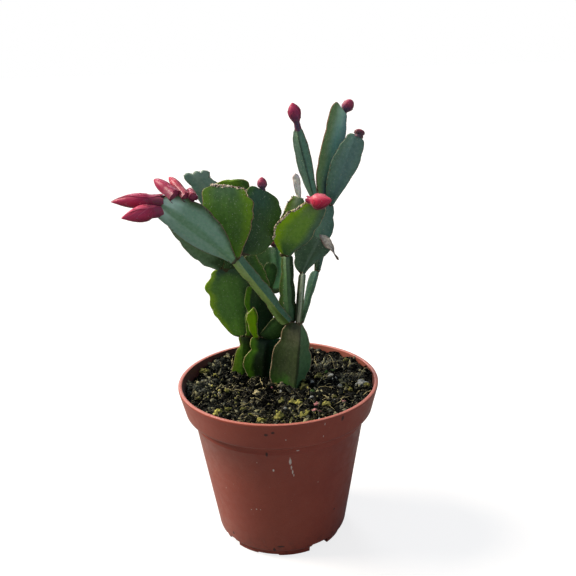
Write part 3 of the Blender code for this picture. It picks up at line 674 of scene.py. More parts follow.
# patches of painted shadow (-1) and painted light (1) on the compost: pixel, radius in mm, how much
lightShadePatches = (
    ((240, 385), 10, -1.2), ((262, 390), 15, -1.6), ((315, 376), 10, -0.7), ((268, 400), 11, -1.1),
    ((352, 394), 8, -0.5), ((196, 388), 15, 1.2), ((218, 362), 10, 0.9), ((212, 384), 7, 0.8),
    ((350, 378), 13, 0.9), ((322, 364), 11, 0.8), ((248, 406), 13, 0.5), ((300, 412), 12, 0.3),
    ((216, 408), 9, 0.5), ((340, 362), 8, 0.3),
)
lightShadePlaces = [(onCompost(pixel), radius, amount) for pixel, radius, amount in lightShadePatches]


def lightShadeAt(x, y):
    # the sum of the patches at a place: the painted shadow patches lie lower, the painted light clods higher
    total = 0.0
    for place, radius, amount in lightShadePlaces:
        away = math.hypot(x - place.x, compost["patchSquash"] * (y - place.y))
        total += amount * max(0.0, 1 - away / radius)
    return total


def compostPeat():
    # damp peat and coir: almost black crumbs, brown in places, green with algae at the front, pale in patches
    # of painted light and near black in patches of painted shadow
    material, tree, shader = newMaterial("dampPeat", {"IOR": 1.4, "Specular IOR Level": 0.04})
    coords = addNode(tree, "TexCoord").outputs["Object"]
    tone = blotch(tree, "090b0b", "181815", 5, 4, 0.35, 0.7)
    tone = blotch(tree, tone, "4c4d43", 1.1, 4, 0.52, 0.68, 0.8)
    tone = blotch(tree, tone, "8a8468", 0.6, 2, 0.63, 0.72, 0.8)
    depth = addNode(tree, "SeparateXYZ", links=[(0, coords)]).outputs[1]
    front = fade(tree, depth, -22 * mm, -50 * mm)
    algae = calc(tree, "MULTIPLY", front, fade(tree, grain(tree, 3, 4), 0.46, 0.62, 0, 0.75))
    tone = mixColours(tree, algae, tone, "565a2c")
    # patches of painted light turn the peat pale, patches of painted shadow turn it near black
    for place, radius, amount in lightShadePlaces:
        away = awayFrom(tree, place, (1, compost["patchSquash"], 0.3))
        ragged = calc(tree, "ADD", away, calc(tree, "MULTIPLY", grain(tree, 3, 3), 3 * mm))
        mask = fade(tree, ragged, (radius + 2) * mm, 0.4 * radius * mm, 0, 0.92 * abs(amount))
        if amount > 0:
            mask = calc(tree, "MULTIPLY", mask, fade(tree, grain(tree, 1.3, 4), 0.42, 0.6))
        tone = mixColours(tree, mask, tone, "777b70" if amount > 0 else "020303")
    layers = [(grain(tree, 1.6, 6, roughness=0.7), 0.8), (grain(tree, 0.5, 3), 0.3)]
    surface(tree, shader, tone, (2, 3, 0.6, 0.95), layers)
    return material


def makeCompost():
    step = pot["height"] - pot["collar"]
    wall = pot["wall"]
    gap = compost["wallGap"]
    profile = [
        (pot["bodyFoot"] - wall - 1.6, pot["floorTop"] + compost["floorGap"]),
        (pot["bodyFoot"] - wall - gap, pot["floorTop"] + 2.2),
        (pot["bodyTop"] - wall - gap, step - 1),
        (pot["collarFoot"] - wall - 0.6, step + 2.2),
    ]
    reach = pot["collarFoot"] - wall + 1.6
    rings = compost["rings"]
    profile += [(reach * (1 - i / rings), compost["level"]) for i in range(rings)]
    piece = turnedShell(profile, compost["sectors"])
    coords = coordsOf(piece.data)
    for i, (x, y, z) in enumerate(coords / mm):
        if z < compost["level"] - 1:
            continue
        angle = math.atan2(y, x)
        rim = Vector((math.cos(angle), math.sin(angle))) * pot["collarFoot"]
        wanted = collarInner(compostHeight(rim.x, rim.y)) - 0.6
        x, y = x * wanted / reach, y * wanted / reach
        coords[i] = np.array((x, y, fineHeight(x, y))) * mm
    putCoords(piece.data, coords + np.array(potAxis))
    finishPiece(piece, "compost", ["soil"], compostPeat())


makeCompost()
print("compost made")


def turnedAt(rng, size, flat=1.0):
    # a random turn and a size, as a matrix
    axis = Vector((rng.gauss(0, 1), rng.gauss(0, 1), rng.gauss(0, 1))).normalized()
    turn = Matrix.Rotation(rng.uniform(0, math.tau), 3, axis)
    return Matrix.Diagonal((size, size, size * flat)) @ turn


def onDisc(rng, reach):
    # a random place on the compost, evenly spread
    radius = reach * math.sqrt(rng.random())
    angle = rng.uniform(0, math.tau)
    return radius * math.cos(angle), radius * math.sin(angle)


def crumbPeat():
    # loose crumbs of the same peat, each a little lighter or darker at random, paler in the patches of
    # painted light and blacker in those of painted shadow
    material, tree, shader = newMaterial("peatCrumbs", {"IOR": 1.4, "Specular IOR Level": 0.04})
    tone = byTint(tree, ((0, "020303"), (0.25, "151716"), (0.55, "363934"), (0.78, "6c6f62"), (1, "b0ad84")))
    tone = blotch(tree, tone, "171713", 0.6, 3, 0.4, 0.7, 0.5)
    surface(tree, shader, tone, (0.8, 2, 0.65, 0.95), [(grain(tree, 0.5, 4), 0.25)])
    return material


# sizes in mm; the tint is 0 for black and 1 for the palest, changed at the front and on the patches of
# painted shadow and painted light
crumbs = dict(
    count=6400, reach=56.2, least=0.35, most=3.6, sizePower=3.2, seed=5,
    palest=1.15, tintPower=3.3, frontTint=0.14, paintedLightTint=0.55, paintedShadeTint=1.5
)


def makeCrumbs():
    rng = random.Random(crumbs["seed"])
    models = [lump(1, 1.1, 2.0, (1.2, 0.7, 0.5)), lump(1, 1.3, 7.0, (1.8, 0.5, 0.35)), lump(1, 1.0, 13.0)]
    places = []
    for _ in range(crumbs["count"]):
        x, y = onDisc(rng, crumbs["reach"])
        size = crumbs["least"] + (crumbs["most"] - crumbs["least"]) * rng.random() ** crumbs["sizePower"]
        z = fineHeight(x, y) + size * rng.uniform(-0.15, 0.3)
        front = min(1.0, max(0.0, (-y - 10) / 50))
        tint = rng.random() ** crumbs["tintPower"] * crumbs["palest"]
        tint += crumbs["frontTint"] * front * rng.random()
        # crumbs in the painted light patches get paler, those in the painted shadow patches darker
        change = lightShadeAt(x, y)
        tint += (crumbs["paintedLightTint"] if change > 0 else crumbs["paintedShadeTint"]) * change
        tint = max(0.0, min(1.0, tint))
        places.append((rng.randrange(3), turnedAt(rng, size), (x, y, z), tint))
    piece = scatter("peatCrumbs", models, places)
    forget(models)
    finishPiece(piece, "peatCrumbs", [], crumbPeat())


makeCrumbs()
print("crumbs made")

# granules, pebbles and chips that the photograph shows: pixel, length and breadth in mm, kind
bits = (
    ((203.7, 375.2), 7.0, 3.2, "granule"), ((214.6, 376.6), 3.6, 2.6, "bright"),
    ((208.6, 365.1), 2.9, 2.7, "pebble"), ((227.2, 356.4), 3.4, 3.0, "pebble"),
    ((228.2, 362.0), 4.6, 2.0, "pale"), ((188.9, 385.4), 2.8, 2.6, "pebble"),
    ((225.8, 392.4), 3.4, 2.4, "granule"), ((214.6, 396.2), 1.9, 1.7, "granule"),
    ((256.6, 392.0), 4.6, 3.2, "pale"), ((281.5, 387.0), 4.2, 3.9, "pebble"),
    ((281.0, 391.4), 1.9, 1.7, "perlite"), ((304.7, 388.0), 5.6, 4.2, "olive"),
    ((305.0, 382.2), 3.8, 3.2, "olive"), ((311.7, 383.0), 1.9, 1.8, "perlite"),
    ((319.4, 377.0), 6.4, 4.0, "olive"), ((330.7, 376.0), 3.6, 2.4, "perlite"),
    ((332.8, 371.4), 3.0, 1.8, "moss"), ((326.6, 372.6), 2.2, 1.6, "moss"),
    ((336.3, 378.7), 1.7, 1.5, "perlite"), ((343.3, 367.5), 1.7, 1.4, "perlite"),
    ((361.5, 384.6), 7.0, 4.4, "perlite"), ((366.2, 385.8), 3.8, 3.2, "granule"),
    ((339.8, 386.8), 2.6, 2.2, "perlite"), ((312.1, 392.2), 2.9, 2.4, "moss"),
    ((292.1, 405.0), 4.8, 4.2, "granule"), ((283.4, 401.6), 5.0, 3.6, "olive"),
    ((298.7, 404.2), 3.5, 3.3, "bright"), ((318.0, 405.3), 4.2, 2.3, "pink"),
    ((316.6, 411.4), 5.0, 1.8, "pink"), ((325.7, 406.2), 5.0, 2.8, "granule"),
    ((259.8, 420.8), 3.8, 2.8, "bright"), ((279.4, 417.4), 5.0, 4.8, "granule"),
    ((276.6, 414.2), 3.6, 3.0, "bright"), ((303.3, 417.4), 5.6, 4.4, "granule"),
    ((308.2, 413.8), 4.0, 3.0, "granule"), ((292.8, 419.4), 3.0, 2.2, "olive"),
    ((217.4, 411.4), 4.0, 2.7, "bright"), ((226.1, 410.0), 5.4, 2.4, "granule"),
    ((216.2, 415.0), 3.2, 2.2, "bright"), ((198.8, 399.5), 2.9, 2.2, "olive"),
    ((351.0, 391.7), 2.8, 2.2, "granule"), ((347.5, 387.8), 4.4, 2.6, "olive"),
    ((343.3, 402.0), 3.8, 1.2, "pink"), ((320.8, 352.5), 3.2, 2.2, "granule"),
    ((333.5, 350.5), 2.4, 1.8, "granule"), ((355.2, 357.4), 2.6, 1.8, "pebble"),
    ((345.9, 360.5), 3.4, 2.2, "olive"), ((300.2, 383.2), 1.6, 1.2, "pink"),
    ((272.0, 387.0), 1.5, 1.2, "pink"), ((257.8, 402.4), 3.0, 2.6, "pebble"),
    ((269.6, 383.6), 2.2, 1.8, "pebble"), ((243.2, 411.0), 3.2, 2.2, "olive"),
    ((249.4, 416.4), 2.6, 1.8, "granule"), ((236.2, 404.0), 2.6, 2.0, "olive"),
    ((334.6, 396.6), 2.4, 1.8, "olive"), ((310.8, 397.8), 2.6, 1.4, "perlite"),
)
bitColours = dict(
    granule=("a3a052", "5f6130"), bright=("cdc868", "8c8a42"), pebble=("848066", "4e4d3d"),
    pale=("d8cfa6", "968c62"), perlite=("c9ccc6", "8d928b"), olive=("787842", "43461f"),
    moss=("3f6a28", "233f17"), pink=("d59a9c", "9a5a5e")
)
bitRule = dict(seed=31, extra=210, reach=54.5, least=0.7, most=2.1, sizePower=2.2, sunk=0.32)


def bitFinish(kind):
    # horticultural grit and slow feed granules: dry, matt and a little dusty, with darker specks
    light, dark = bitColours[kind]
    material, tree, shader = newMaterial(f"{kind}Grit", {"IOR": 1.45, "Specular IOR Level": 0.3})
    tone = blotch(tree, dark, light, 1.2, 4, 0.35, 0.65)
    tone = blotch(tree, tone, "2b2419", 0.5, 3, 0.58, 0.74, 0.6)
    surface(tree, shader, tone, (0.7, 2, 0.55, 0.9), [(grain(tree, 0.7, 4), 0.22)])
    return material


def makeBits():
    rng = random.Random(bitRule["seed"])
    models = [lump(3, 0.8, 4.0), lump(3, 1.1, 9.0), lump(3, 0.95, 15.0)]
    small = [lump(1, 0.6, 21.0), lump(1, 0.8, 23.0)]
    byKind = {kind: [] for kind in bitColours}
    for pixel, length, breadth, kind in bits:
        place = onCompost(pixel)
        turn = Matrix.Rotation(rng.uniform(-0.5, 0.5), 3, "Z")
        turn = turn @ Matrix.Rotation(rng.uniform(-0.4, 0.4), 3, "Y")
        matrix = turn @ Matrix.Diagonal((length, 0.85 * breadth, breadth))
        z = fineHeight(place.x, place.y) + breadth * (0.5 - bitRule["sunk"])
        byKind[kind].append((rng.randrange(3), matrix, (place.x, place.y, z), rng.random()))
    extras = ("granule", "olive", "pebble", "granule", "perlite", "pale", "olive", "bright")
    for _ in range(bitRule["extra"]):
        x, y = onDisc(rng, bitRule["reach"])
        size = bitRule["least"] + (bitRule["most"] - bitRule["least"]) * rng.random() ** bitRule["sizePower"]
        z = fineHeight(x, y) + size * 0.15
        kind = rng.choice(extras)
        byKind[kind].append((3 + rng.randrange(2), turnedAt(rng, size), (x, y, z), rng.random()))
    for kind, places in byKind.items():
        piece = scatter(f"{kind}Grit", models + small, places)
        finishPiece(piece, f"{kind}Grit", [], bitFinish(kind))
    forget(models + small)


makeBits()
print("grit made")

# rootlets and straw: two pixels, width in mm, how high the middle lifts in mm
strands = (
    ((326.4, 357.4), (334.9, 370.0), 0.35, 2.2), ((358.0, 381.2), (369.4, 370.7), 0.45, 3.0),
    ((212.0, 393.8), (221.9, 384.0), 0.8, 1.2), ((221.9, 384.2), (226.4, 390.6), 0.55, 0.8),
    ((260.5, 378.4), (264.3, 388.2), 0.6, 1.4), ((322.9, 395.2), (328.8, 401.8), 0.55, 1.0),
    ((362.9, 395.2), (372.4, 391.7), 0.6, 1.2), ((341.9, 409.3), (344.9, 402.6), 0.7, 0.6),
    ((231.6, 366.2), (234.8, 352.8), 0.5, 1.0), ((316.0, 386.8), (324.6, 374.2), 0.35, 1.5),
    ((336.0, 404.6), (350.6, 396.2), 0.5, 1.0), ((198.2, 405.8), (210.6, 394.6), 0.5, 0.8),
    ((236.0, 414.0), (247.6, 409.6), 0.5, 0.6), ((250.2, 397.6), (262.0, 400.4), 0.45, 1.0),
    ((297.0, 411.8), (307.0, 405.6), 0.5, 0.8), ((187.0, 398.2), (196.2, 389.0), 0.45, 0.8),
    ((345.4, 372.8), (357.8, 366.6), 0.35, 1.6), ((309.8, 360.0), (317.2, 368.6), 0.35, 1.2),
)
strandRule = dict(seed=77, extra=900, reach=53, farthest=54.5, sides=3, steps=9, least=2.5, most=13)


def strandFinish():
    # dry roots and straw in the peat: pale tan, a little glossy along their length
    material, tree, shader = newMaterial("dryRootFibre", {"IOR": 1.45, "Specular IOR Level": 0.4})
    tone = byTint(tree, ((0, "1c1c18"), (0.4, "45443a"), (0.75, "8a8560"), (1, "c4b984")))
    tone = blotch(tree, tone, "3a3122", 1.5, 3, 0.4, 0.7, 0.5)
    surface(tree, shader, tone, (1, 2, 0.45, 0.75), [(grain(tree, 0.4, 2), 0.08)])
    return material


def tube(path, width, sides):
    # a thin closed tube along a path of points: its points and faces
    points, faces = [], []
    for i, place in enumerate(path):
        along = (path[min(i + 1, len(path) - 1)] - path[max(i - 1, 0)]).normalized()
        side = along.cross(Vector((0.31, 0.22, 0.92))).normalized()
        other = along.cross(side)
        taper = 0.35 if i in (0, len(path) - 1) else 1.0
        for k in range(sides):
            turn = math.tau * k / sides
            points.append(place + (side * math.cos(turn) + other * math.sin(turn)) * (width / 2 * taper))
    for i in range(len(path) - 1):
        for k in range(sides):
            after = (k + 1) % sides
            faces.append((i * sides + k, i * sides + after, (i + 1) * sides + after, (i + 1) * sides + k))
    faces.append(tuple(range(sides))[::-1])
    faces.append(tuple(range((len(path) - 1) * sides, len(path) * sides)))
    return points, faces


def joinTubes(name, tubes):
    # tubes are (points, faces, tint)
    points, faces, tints = [], [], []
    for tubePoints, tubeFaces, tint in tubes:
        start = len(points)
        points += [toWorld(point) for point in tubePoints]
        faces += [tuple(start + index for index in face) for face in tubeFaces]
        tints += [tint] * len(tubePoints)
    piece = meshOf(points, faces, name)
    putAttribute(piece.data, "tint", tints)
    editAll(piece)
    bpy.ops.mesh.normals_make_consistent(inside=False)
    leaveEdit()
    return piece


def strandPath(start, end, lift, wander, rng):
    # a strand that follows the compost, with its middle a little up and to one side
    path = []
    side = Vector((-(end.y - start.y), end.x - start.x, 0)).normalized()
    drift = rng.uniform(-wander, wander)
    for i in range(strandRule["steps"]):
        t = i / (strandRule["steps"] - 1)
        place = start.lerp(end, t) + side * (drift * math.sin(math.pi * t))
        place += side * (0.4 * wander * noise.noise(Vector((t * 3, drift, 2))))
        z = fineHeight(place.x, place.y) + 0.25 + lift * math.sin(math.pi * t)
        path.append(Vector((place.x, place.y, z)))
    return path


def makeStrands():
    rng = random.Random(strandRule["seed"])
    tubes = []
    for first, last, width, lift in strands:
        path = strandPath(onCompost(first), onCompost(last), lift, 1.0, rng)
        tubes.append((*tube(path, width, 5), rng.uniform(0.75, 1.0)))
    for _ in range(strandRule["extra"]):
        x, y = onDisc(rng, strandRule["reach"])
        length = strandRule["least"] + (strandRule["most"] - strandRule["least"]) * rng.random() ** 2
        turn = rng.uniform(0, math.tau)
        start = Vector((x, y, 0))
        end = start + Vector((math.cos(turn), math.sin(turn), 0)) * length
        if math.hypot(end.x, end.y) > strandRule["farthest"]:
            continue
        path = strandPath(start, end, rng.uniform(-0.1, 1.1), 1.6, rng)
        tubes.append((*tube(path, rng.uniform(0.18, 0.45), strandRule["sides"]), rng.random() ** 1.5))
    piece = joinTubes("rootFibres", tubes)
    finishPiece(piece, "rootFibres", [], strandFinish())


makeStrands()
print("fibres made")


# stem pads
padRule = dict(
    neck=1.7, margin=0.7, nickDepth=1.3, nickReach=4.5, columns=28, rows=60, cornerRound=1.3,
    ripple=0.12, swell=0.1, sink=1.5, sinkReach=6.0
)
# seat, tip, half widths and notches of each pad: those of the solids, with some margins set finer
pads = {
    "base_front": dict(
        seat=(7, 10.5, 78), tip=(11.7, 8, 131.6), rib=6, ridge=5.5, ridgeAt=3,
        left=((0, 7), (0.31, 13.8), (0.48, 13.4), (0.65, 12.7), (0.83, 8.9), (0.91, 8), (0.97, 5.8),
              (1, 5.2)),
        right=((0, 7), (0.36, 8.7), (0.45, 10.9), (0.65, 10.6), (0.89, 7), (0.96, 4.8), (1, 4.4)),
        round=2, nicks=((0.78,), (0.68,)), skin="oldOlive",
    ),
    "base_middle": dict(
        seat=(-11, 21.5, 79), tip=(-7.4, 24, 116.2), rib=5, ridge=2.5,
        left=((0, 5), (0.34, 10.5), (0.48, 13), (0.61, 12.7), (0.71, 11), (0.76, 9.8), (0.85, 9.8),
              (1, 9)),
        right=((0, 7), (0.41, 8.5), (0.6, 10), (0.85, 11.2), (0.95, 11.6), (1, 10.4)),
        nicks=((0.78,), (0.55,)), skin="oldGreen",
    ),
    "base_left": dict(
        seat=(-23.5, 27.5, 80), tip=(-21.5, 30.5, 115), rib=4, turn=8,
        left=((0, 5), (0.3, 7.4), (0.46, 6.4), (0.73, 4.5), (0.81, 2.9), (1, 3.4)),
        right=((0, 5), (0.56, 6), (0.85, 6), (1, 5.6)),
        nicks=((0.83,), (0.6,)), skin="sideGreen",
    ),
    "stalk_front": dict(
        on="base_front", seat=(-5.2, 1), tip=(-20.5, -10, 178.1), rib=4, ridge=3,
        left=((0, 3.4), (0.06, 5.2), (0.18, 5.2), (0.4, 4.4), (0.6, 4.3), (0.81, 4.8), (1, 4.3)),
        right=((0, 2.4), (0.15, 2.4), (0.35, 3.4), (0.51, 4), (0.88, 3.4), (1, 3.7)),
        nicks=((0.35, 0.7), (0.25, 0.62)), skin="stalkSage",
    ),
    "stalk_center": dict(
        on="base_front", seat=(-3.8, -2.1), tip=(7.8, 6, 174), rib=4, ridge=2.5, ridgeAt=-1,
        left=((0, 3), (0.09, 5.6), (0.27, 6.9), (0.45, 6.5), (0.62, 5.3), (1, 3.4)),
        right=((0, 3), (0.1, 3.7), (0.4, 3.4), (0.7, 3.2), (1, 3.2)),
        nicks=((0.4, 0.75), (0.3, 0.62)), skin="stalkGreen",
    ),
    "stalk_thin": dict(
        on="base_front", seat=(-0.9, 0.9), tip=(16.8, 11, 161.6), rib=2.6, ridge=1.2,
        left=((0, 1.6), (0.2, 2.4), (0.92, 2.6), (1, 2)),
        right=((0, 1.5), (0.14, 1.9), (1, 1.7)),
        nicks=((), ()), skin="stalkCorky",
    ),
    "stalk_right": dict(
        on="base_front", seat=(2.8, -2), tip=(25.1, 20, 159.9), rib=3.4,
        left=((0, 1.6), (0.12, 1.5), (0.31, 2.1), (0.5, 2.7), (0.8, 3.5), (0.92, 3.2), (1, 2.2)),
        right=((0, 1.5), (0.54, 2.1), (1, 1.9)),
        nicks=((), (0.5,)), skin="stalkBlue",
    ),
    "blade_left": dict(
        on="stalk_front", seat=(-3, 1.6), tip=(-61.5, -16, 209.2), rib=3.2, ridgeAt=3, turn=8, bend=1.5,
        slant=-2, notch=0.6,
        left=((0, 1.7), (0.11, 2.2), (0.3, 4.6), (0.47, 5.9), (0.69, 6), (0.85, 5.2), (1, 4.8)),
        right=((0, 1.7), (0.2, 9.8), (0.42, 15.2), (0.62, 16.9), (0.8, 15.6), (0.92, 12.4), (1, 6.6)),
        round=2.2, nicks=((0.8,), (0.47, 0.76, 0.9)), skin="bloomBlade",
    ),
    "disc_front": dict(
        on="stalk_front", seat=(0.6, 0.2), tip=(-24, -3, 217.5), rib=3, turn=8, bend=2, slant=2,
        left=((0, 1.7), (0.2, 4.4), (0.3, 6.7), (0.8, 15.9), (0.96, 14.3), (1, 10)),
        right=((0, 1.7), (0.48, 12.6), (0.74, 13.8), (0.84, 11.9), (1, 9.4)),
        round=2.6, nicks=((0.5, 0.84), (0.48, 0.63, 0.84)), skin="discFront",
    ),
    "disc_behind": dict(
        on="stalk_front", seat=(4.3, -2.2), tip=(-7.3, 9, 213.6), rib=3, turn=-12, bend=-1.5,
        left=((0, 1.7), (0.21, 1.7), (0.4, 5.5), (0.61, 7), (0.81, 6.9), (1, 5.6)),
        right=((0, 3), (0.09, 11.4), (0.23, 15.6), (0.41, 18), (0.6, 18.6), (0.72, 18.2), (0.86, 16.2),
               (0.96, 12), (1, 6.8)),
        round=2.2, nicks=((0.45, 0.75), (0.52, 0.7, 0.87)), skin="discBehind",
    ),
    "disc_left": dict(
        on="base_left", seat=(-1.2, 0), tip=(-27.5, 26, 161.9), rib=3, turn=10,
        left=((0, 1.7), (0.03, 5.8), (0.13, 10.2), (0.28, 14), (0.36, 16.6), (0.45, 17.4),
              (0.58, 16.8), (0.68, 18.4), (0.76, 18.1), (0.85, 15), (0.93, 13.2), (1, 9.4)),
        right=((0, 1.7), (0.05, 3.5), (0.18, 6.4), (0.69, 11.2), (0.79, 10.7), (1, 6.4)),
        round=2.2, nicks=((0.4, 0.63, 0.89), (0.35, 0.65)), skin="discLeft",
    ),
    "blade_left_under": dict(
        on="disc_left", seat=(-6.2, 0.3), tip=(-60.5, 13, 194.8), rib=3, turn=-8,
        left=((0, 2.5), (0.1, 4.4), (0.2, 6.3), (0.31, 7), (0.49, 6.8), (0.7, 5.6), (1, 2.2)),
        right=((0, 12), (0.06, 10.5), (0.3, 10.5), (0.7, 9.5), (0.9, 6.5), (1, 3.6)),
        nicks=((0.3, 0.7), (0.4, 0.75)), skin="shadeBlade",
    ),
    "link_back": dict(
        on="disc_left", seat=(3, -1.2), tip=(-22, 28, 184.5), rib=3.4, sink=4.5,
        left=((0, 8), (0.1, 7), (0.7, 4.6), (1, 4.6)),
        right=((0, 11), (0.1, 9), (0.3, 7), (0.75, 5), (1, 4.6)),
        nicks=((0.5,), (0.5,)), skin="shadeLeaf",
    ),
    "blade_back_left": dict(
        on="link_back", seat=(-2.4, -1.4), tip=(-45, 33.5, 220), rib=3, turn=-8, slant=3,
        left=((0, 1.7), (0.15, 6), (0.35, 8.6), (0.61, 8.7), (0.99, 8.5), (1, 8.8)),
        right=((0, 1.7), (0.15, 4), (0.56, 7.5), (0.7, 6.8), (0.78, 5.6), (1, 6.6)),
        scallop=1.5, scallops=3, nicks=((0.42, 0.85), (0.3, 0.85)), skin="bloomLeaf",
    ),
    "leaf_back_top": dict(
        on="link_back", seat=(2.2, 1.4), tip=(-23.9, 22, 216.6), rib=3, turn=8, slant=0.4,
        left=((0, 1.7), (0.36, 9.9), (0.57, 12.7), (0.77, 13.4), (0.93, 11.7), (1, 6.4)),
        right=((0, 1.7), (0.29, 7), (0.58, 10.3), (0.77, 11.2), (0.89, 10.5), (1, 8.6)),
        round=2.5, nicks=((0.4, 0.75), (0.5, 0.8)), skin="litLeaf",
    ),
    "middle_stem": dict(
        on="base_middle", seat=(-6.2, -0.8), tip=(-10.1, 22, 150.2), rib=4, ridge=1,
        left=((0, 9), (0.05, 6.5), (0.18, 6.5), (0.4, 7.6), (0.52, 7.2), (0.67, 8.4), (1, 7.6)),
        right=((0, 13), (0.06, 13.5), (0.26, 13.5), (0.47, 10.5), (0.86, 8.5), (1, 7.6)),
        nicks=((0.49,), (0.4,)), skin="middleStem",
    ),
    "leaf_lime": dict(
        on="base_middle", seat=(-5.4, 2.6), tip=(-15.4, 15.5, 137.8), rib=2.4, slant=-1.8,
        left=((0, 1.5), (0.16, 3.1), (0.38, 4.2), (0.66, 4.1), (1, 2.6)),
        right=((0, 1.5), (0.16, 0.7), (0.76, 3.4), (1, 2.8)),
        nicks=((0.5,), (0.5,)), skin="limeLeaf",
    ),
    "leaf_small": dict(
        on="base_middle", seat=(-1, 1.5), tip=(3.2, 12.5, 132.6), rib=2.6,
        left=((0, 2.5), (0.67, 4), (1, 4.2)),
        right=((0, 1.5), (0.2, 6.5), (0.54, 9), (0.93, 7), (1, 5)),
        nicks=((), ()), skin="darkLeaf",
    ),
    "middle_leaf_front": dict(
        on="middle_stem", seat=(2, 2.2), tip=(-14.6, 13, 173.4), rib=2.8, turn=10,
        left=((0, 1.7), (0.4, 4.4), (0.73, 5.3), (1, 3.4)),
        right=((0, 1.7), (0.05, 4.4), (0.54, 5.7), (0.76, 4.5), (1, 3.4)),
        nicks=((0.45,), (0.3, 0.52, 0.76)), skin="midLeaf",
    ),
    "middle_leaf_center": dict(
        on="middle_stem", seat=(5.6, 0.4), tip=(-2.6, 22, 165.5), rib=2.8,
        left=((0, 1.7), (0.48, 4), (0.8, 3.6), (1, 2.6)),
        right=((0, 1.7), (0.45, 4.7), (0.75, 4.7), (1, 2.6)),
        nicks=((), (0.5,)), skin="darkLeaf",
    ),
    "middle_leaf_back": dict(
        on="middle_stem", seat=(8.4, -2.1), tip=(-2.2, 35, 171.6), rib=2.8, sink=4.5, ridge=1, ridgeAt=3,
        left=((0, 1.7), (0.01, 2.5), (0.27, 6.5), (0.56, 10.6), (0.82, 12.6), (1, 9)),
        right=((0, 4), (0.03, 6), (0.32, 7.6), (0.6, 8), (0.82, 6.6), (1, 4.2)),
        nicks=((0.5,), (0.55,)), skin="backSlate",
    ),
    "disc_right_front": dict(
        on="stalk_center", seat=(1.5, 0.9), tip=(25.6, -5, 206), rib=3, turn=-12, bend=1,
        left=((0, 1.7), (0.05, 6), (0.14, 11.2), (0.25, 14.6), (0.51, 16), (0.69, 13.8),
              (0.95, 7.6), (1, 5)),
        right=((0, 1.7), (0.19, 3.2), (0.32, 5.8), (0.45, 6.8), (0.86, 6.5), (1, 5.6)),
        nicks=((0.28, 0.58, 0.82), (0.6,)), skin="discRight",
    ),
    "leaf_right_behind": dict(
        on="stalk_center", seat=(-2, -1.4), tip=(14.9, 14, 206.9), rib=2.8,
        left=((0, 1.7), (0.14, 1.5), (0.29, 4.9), (0.48, 7.1), (0.78, 5.7), (1, 3.2)),
        right=((0, 1.7), (0.22, 8.7), (0.37, 10.8), (0.57, 10.1), (1, 3.6)),
        nicks=((0.36, 0.68), (0.4, 0.7)), skin="rightLeaf",
    ),
    "leaf_right_low": dict(
        on="stalk_thin", seat=(0, 0), tip=(26.2, 10, 183), rib=3,
        left=((0, 1.7), (0.02, 2.1), (0.09, 5), (0.19, 7.4), (0.41, 9.8), (0.58, 9.3), (0.74, 7.2),
              (1, 5)),
        right=((0, 1.7), (0.18, 2.8), (0.54, 7.1), (0.75, 9), (0.92, 9.6), (1, 7.2)),
        nicks=((0.3, 0.7), (0.45,)), skin="greySlate",
    ),
    "stem_right": dict(
        on="stalk_right", seat=(0, 0), tip=(30.1, 23, 200.5), rib=3.6,
        left=((0, 1.7), (0.19, 2.6), (0.51, 6.6), (0.83, 7.8), (1, 6.6)),
        right=((0, 1.7), (0.34, 4.3), (0.47, 6.1), (0.74, 7.6), (1, 6)),
        nicks=((0.6,), (0.48, 0.8)), skin="stemBlue",
    ),
    "blade_right_inner": dict(
        on="stem_right", seat=(-4.6, 0.4), tip=(16, 19, 245.4), rib=3.2, ridge=1.2, turn=28,
        notch=0.4,
        left=((0, 1.7), (0.18, 4.5), (0.49, 6.6), (0.85, 5.3), (1, 2.8)),
        right=((0, 1.7), (0.2, 2.1), (0.71, 3.9), (1, 2.4)),
        nicks=((0.36, 0.68), (0.3, 0.7)), skin="slateInner",
    ),
    "blade_right_top": dict(
        on="stem_right", seat=(-0.2, -1.3), tip=(41.4, 28.5, 255.7), rib=3, turn=-14, slant=2.6,
        notch=0.4,
        left=((0, 1.7), (0.15, 5.7), (0.33, 7.8), (0.73, 7.1), (0.93, 6.3), (1, 4.8)),
        right=((0, 1.7), (0.19, 1), (0.34, 3.2), (0.58, 5.7), (0.71, 6.1), (1, 4.2)),
        round=2, nicks=((0.38, 0.75), (0.33, 0.64, 0.86)), skin="slateTop",
    ),
    "blade_right_outer": dict(
        on="stem_right", seat=(4.4, 0.9), tip=(48.6, 15.5, 241.2), rib=3, turn=10, notch=0.4,
        left=((0, 1.7), (0.18, 5.8), (0.53, 8.1), (0.81, 6.6), (0.9, 5.1), (1, 4.6)),
        right=((0, 1.7), (0.39, 6), (0.63, 7.7), (0.83, 7.2), (0.95, 5.9), (1, 4)),
        round=2, nicks=((0.4, 0.72), (0.45, 0.78)), skin="slateOuter",
    ),
}

# where a pad's colours meet, the line along its margin, the band along its rib, and its stripes and pores
plainSkin = dict(leftAt=(-0.2, -0.85), rightAt=(0.2, 0.85), topAt=(0.62, 1.0), footAt=(0.38, 0.0),
                 line="8d8a55", lineWidth=0.8, rib=None, ribWidth=0.16, stripes=0.25, pores=0.5)


def skin(middle, left, right, top, foot, **own):
    # what a pad wears: five colours, holding painted light and painted shade over its own greens, and what
    # departs from a plain skin
    colours = dict(middle=middle, left=left, right=right, top=top, foot=foot)
    return {**plainSkin, **colours, **own}


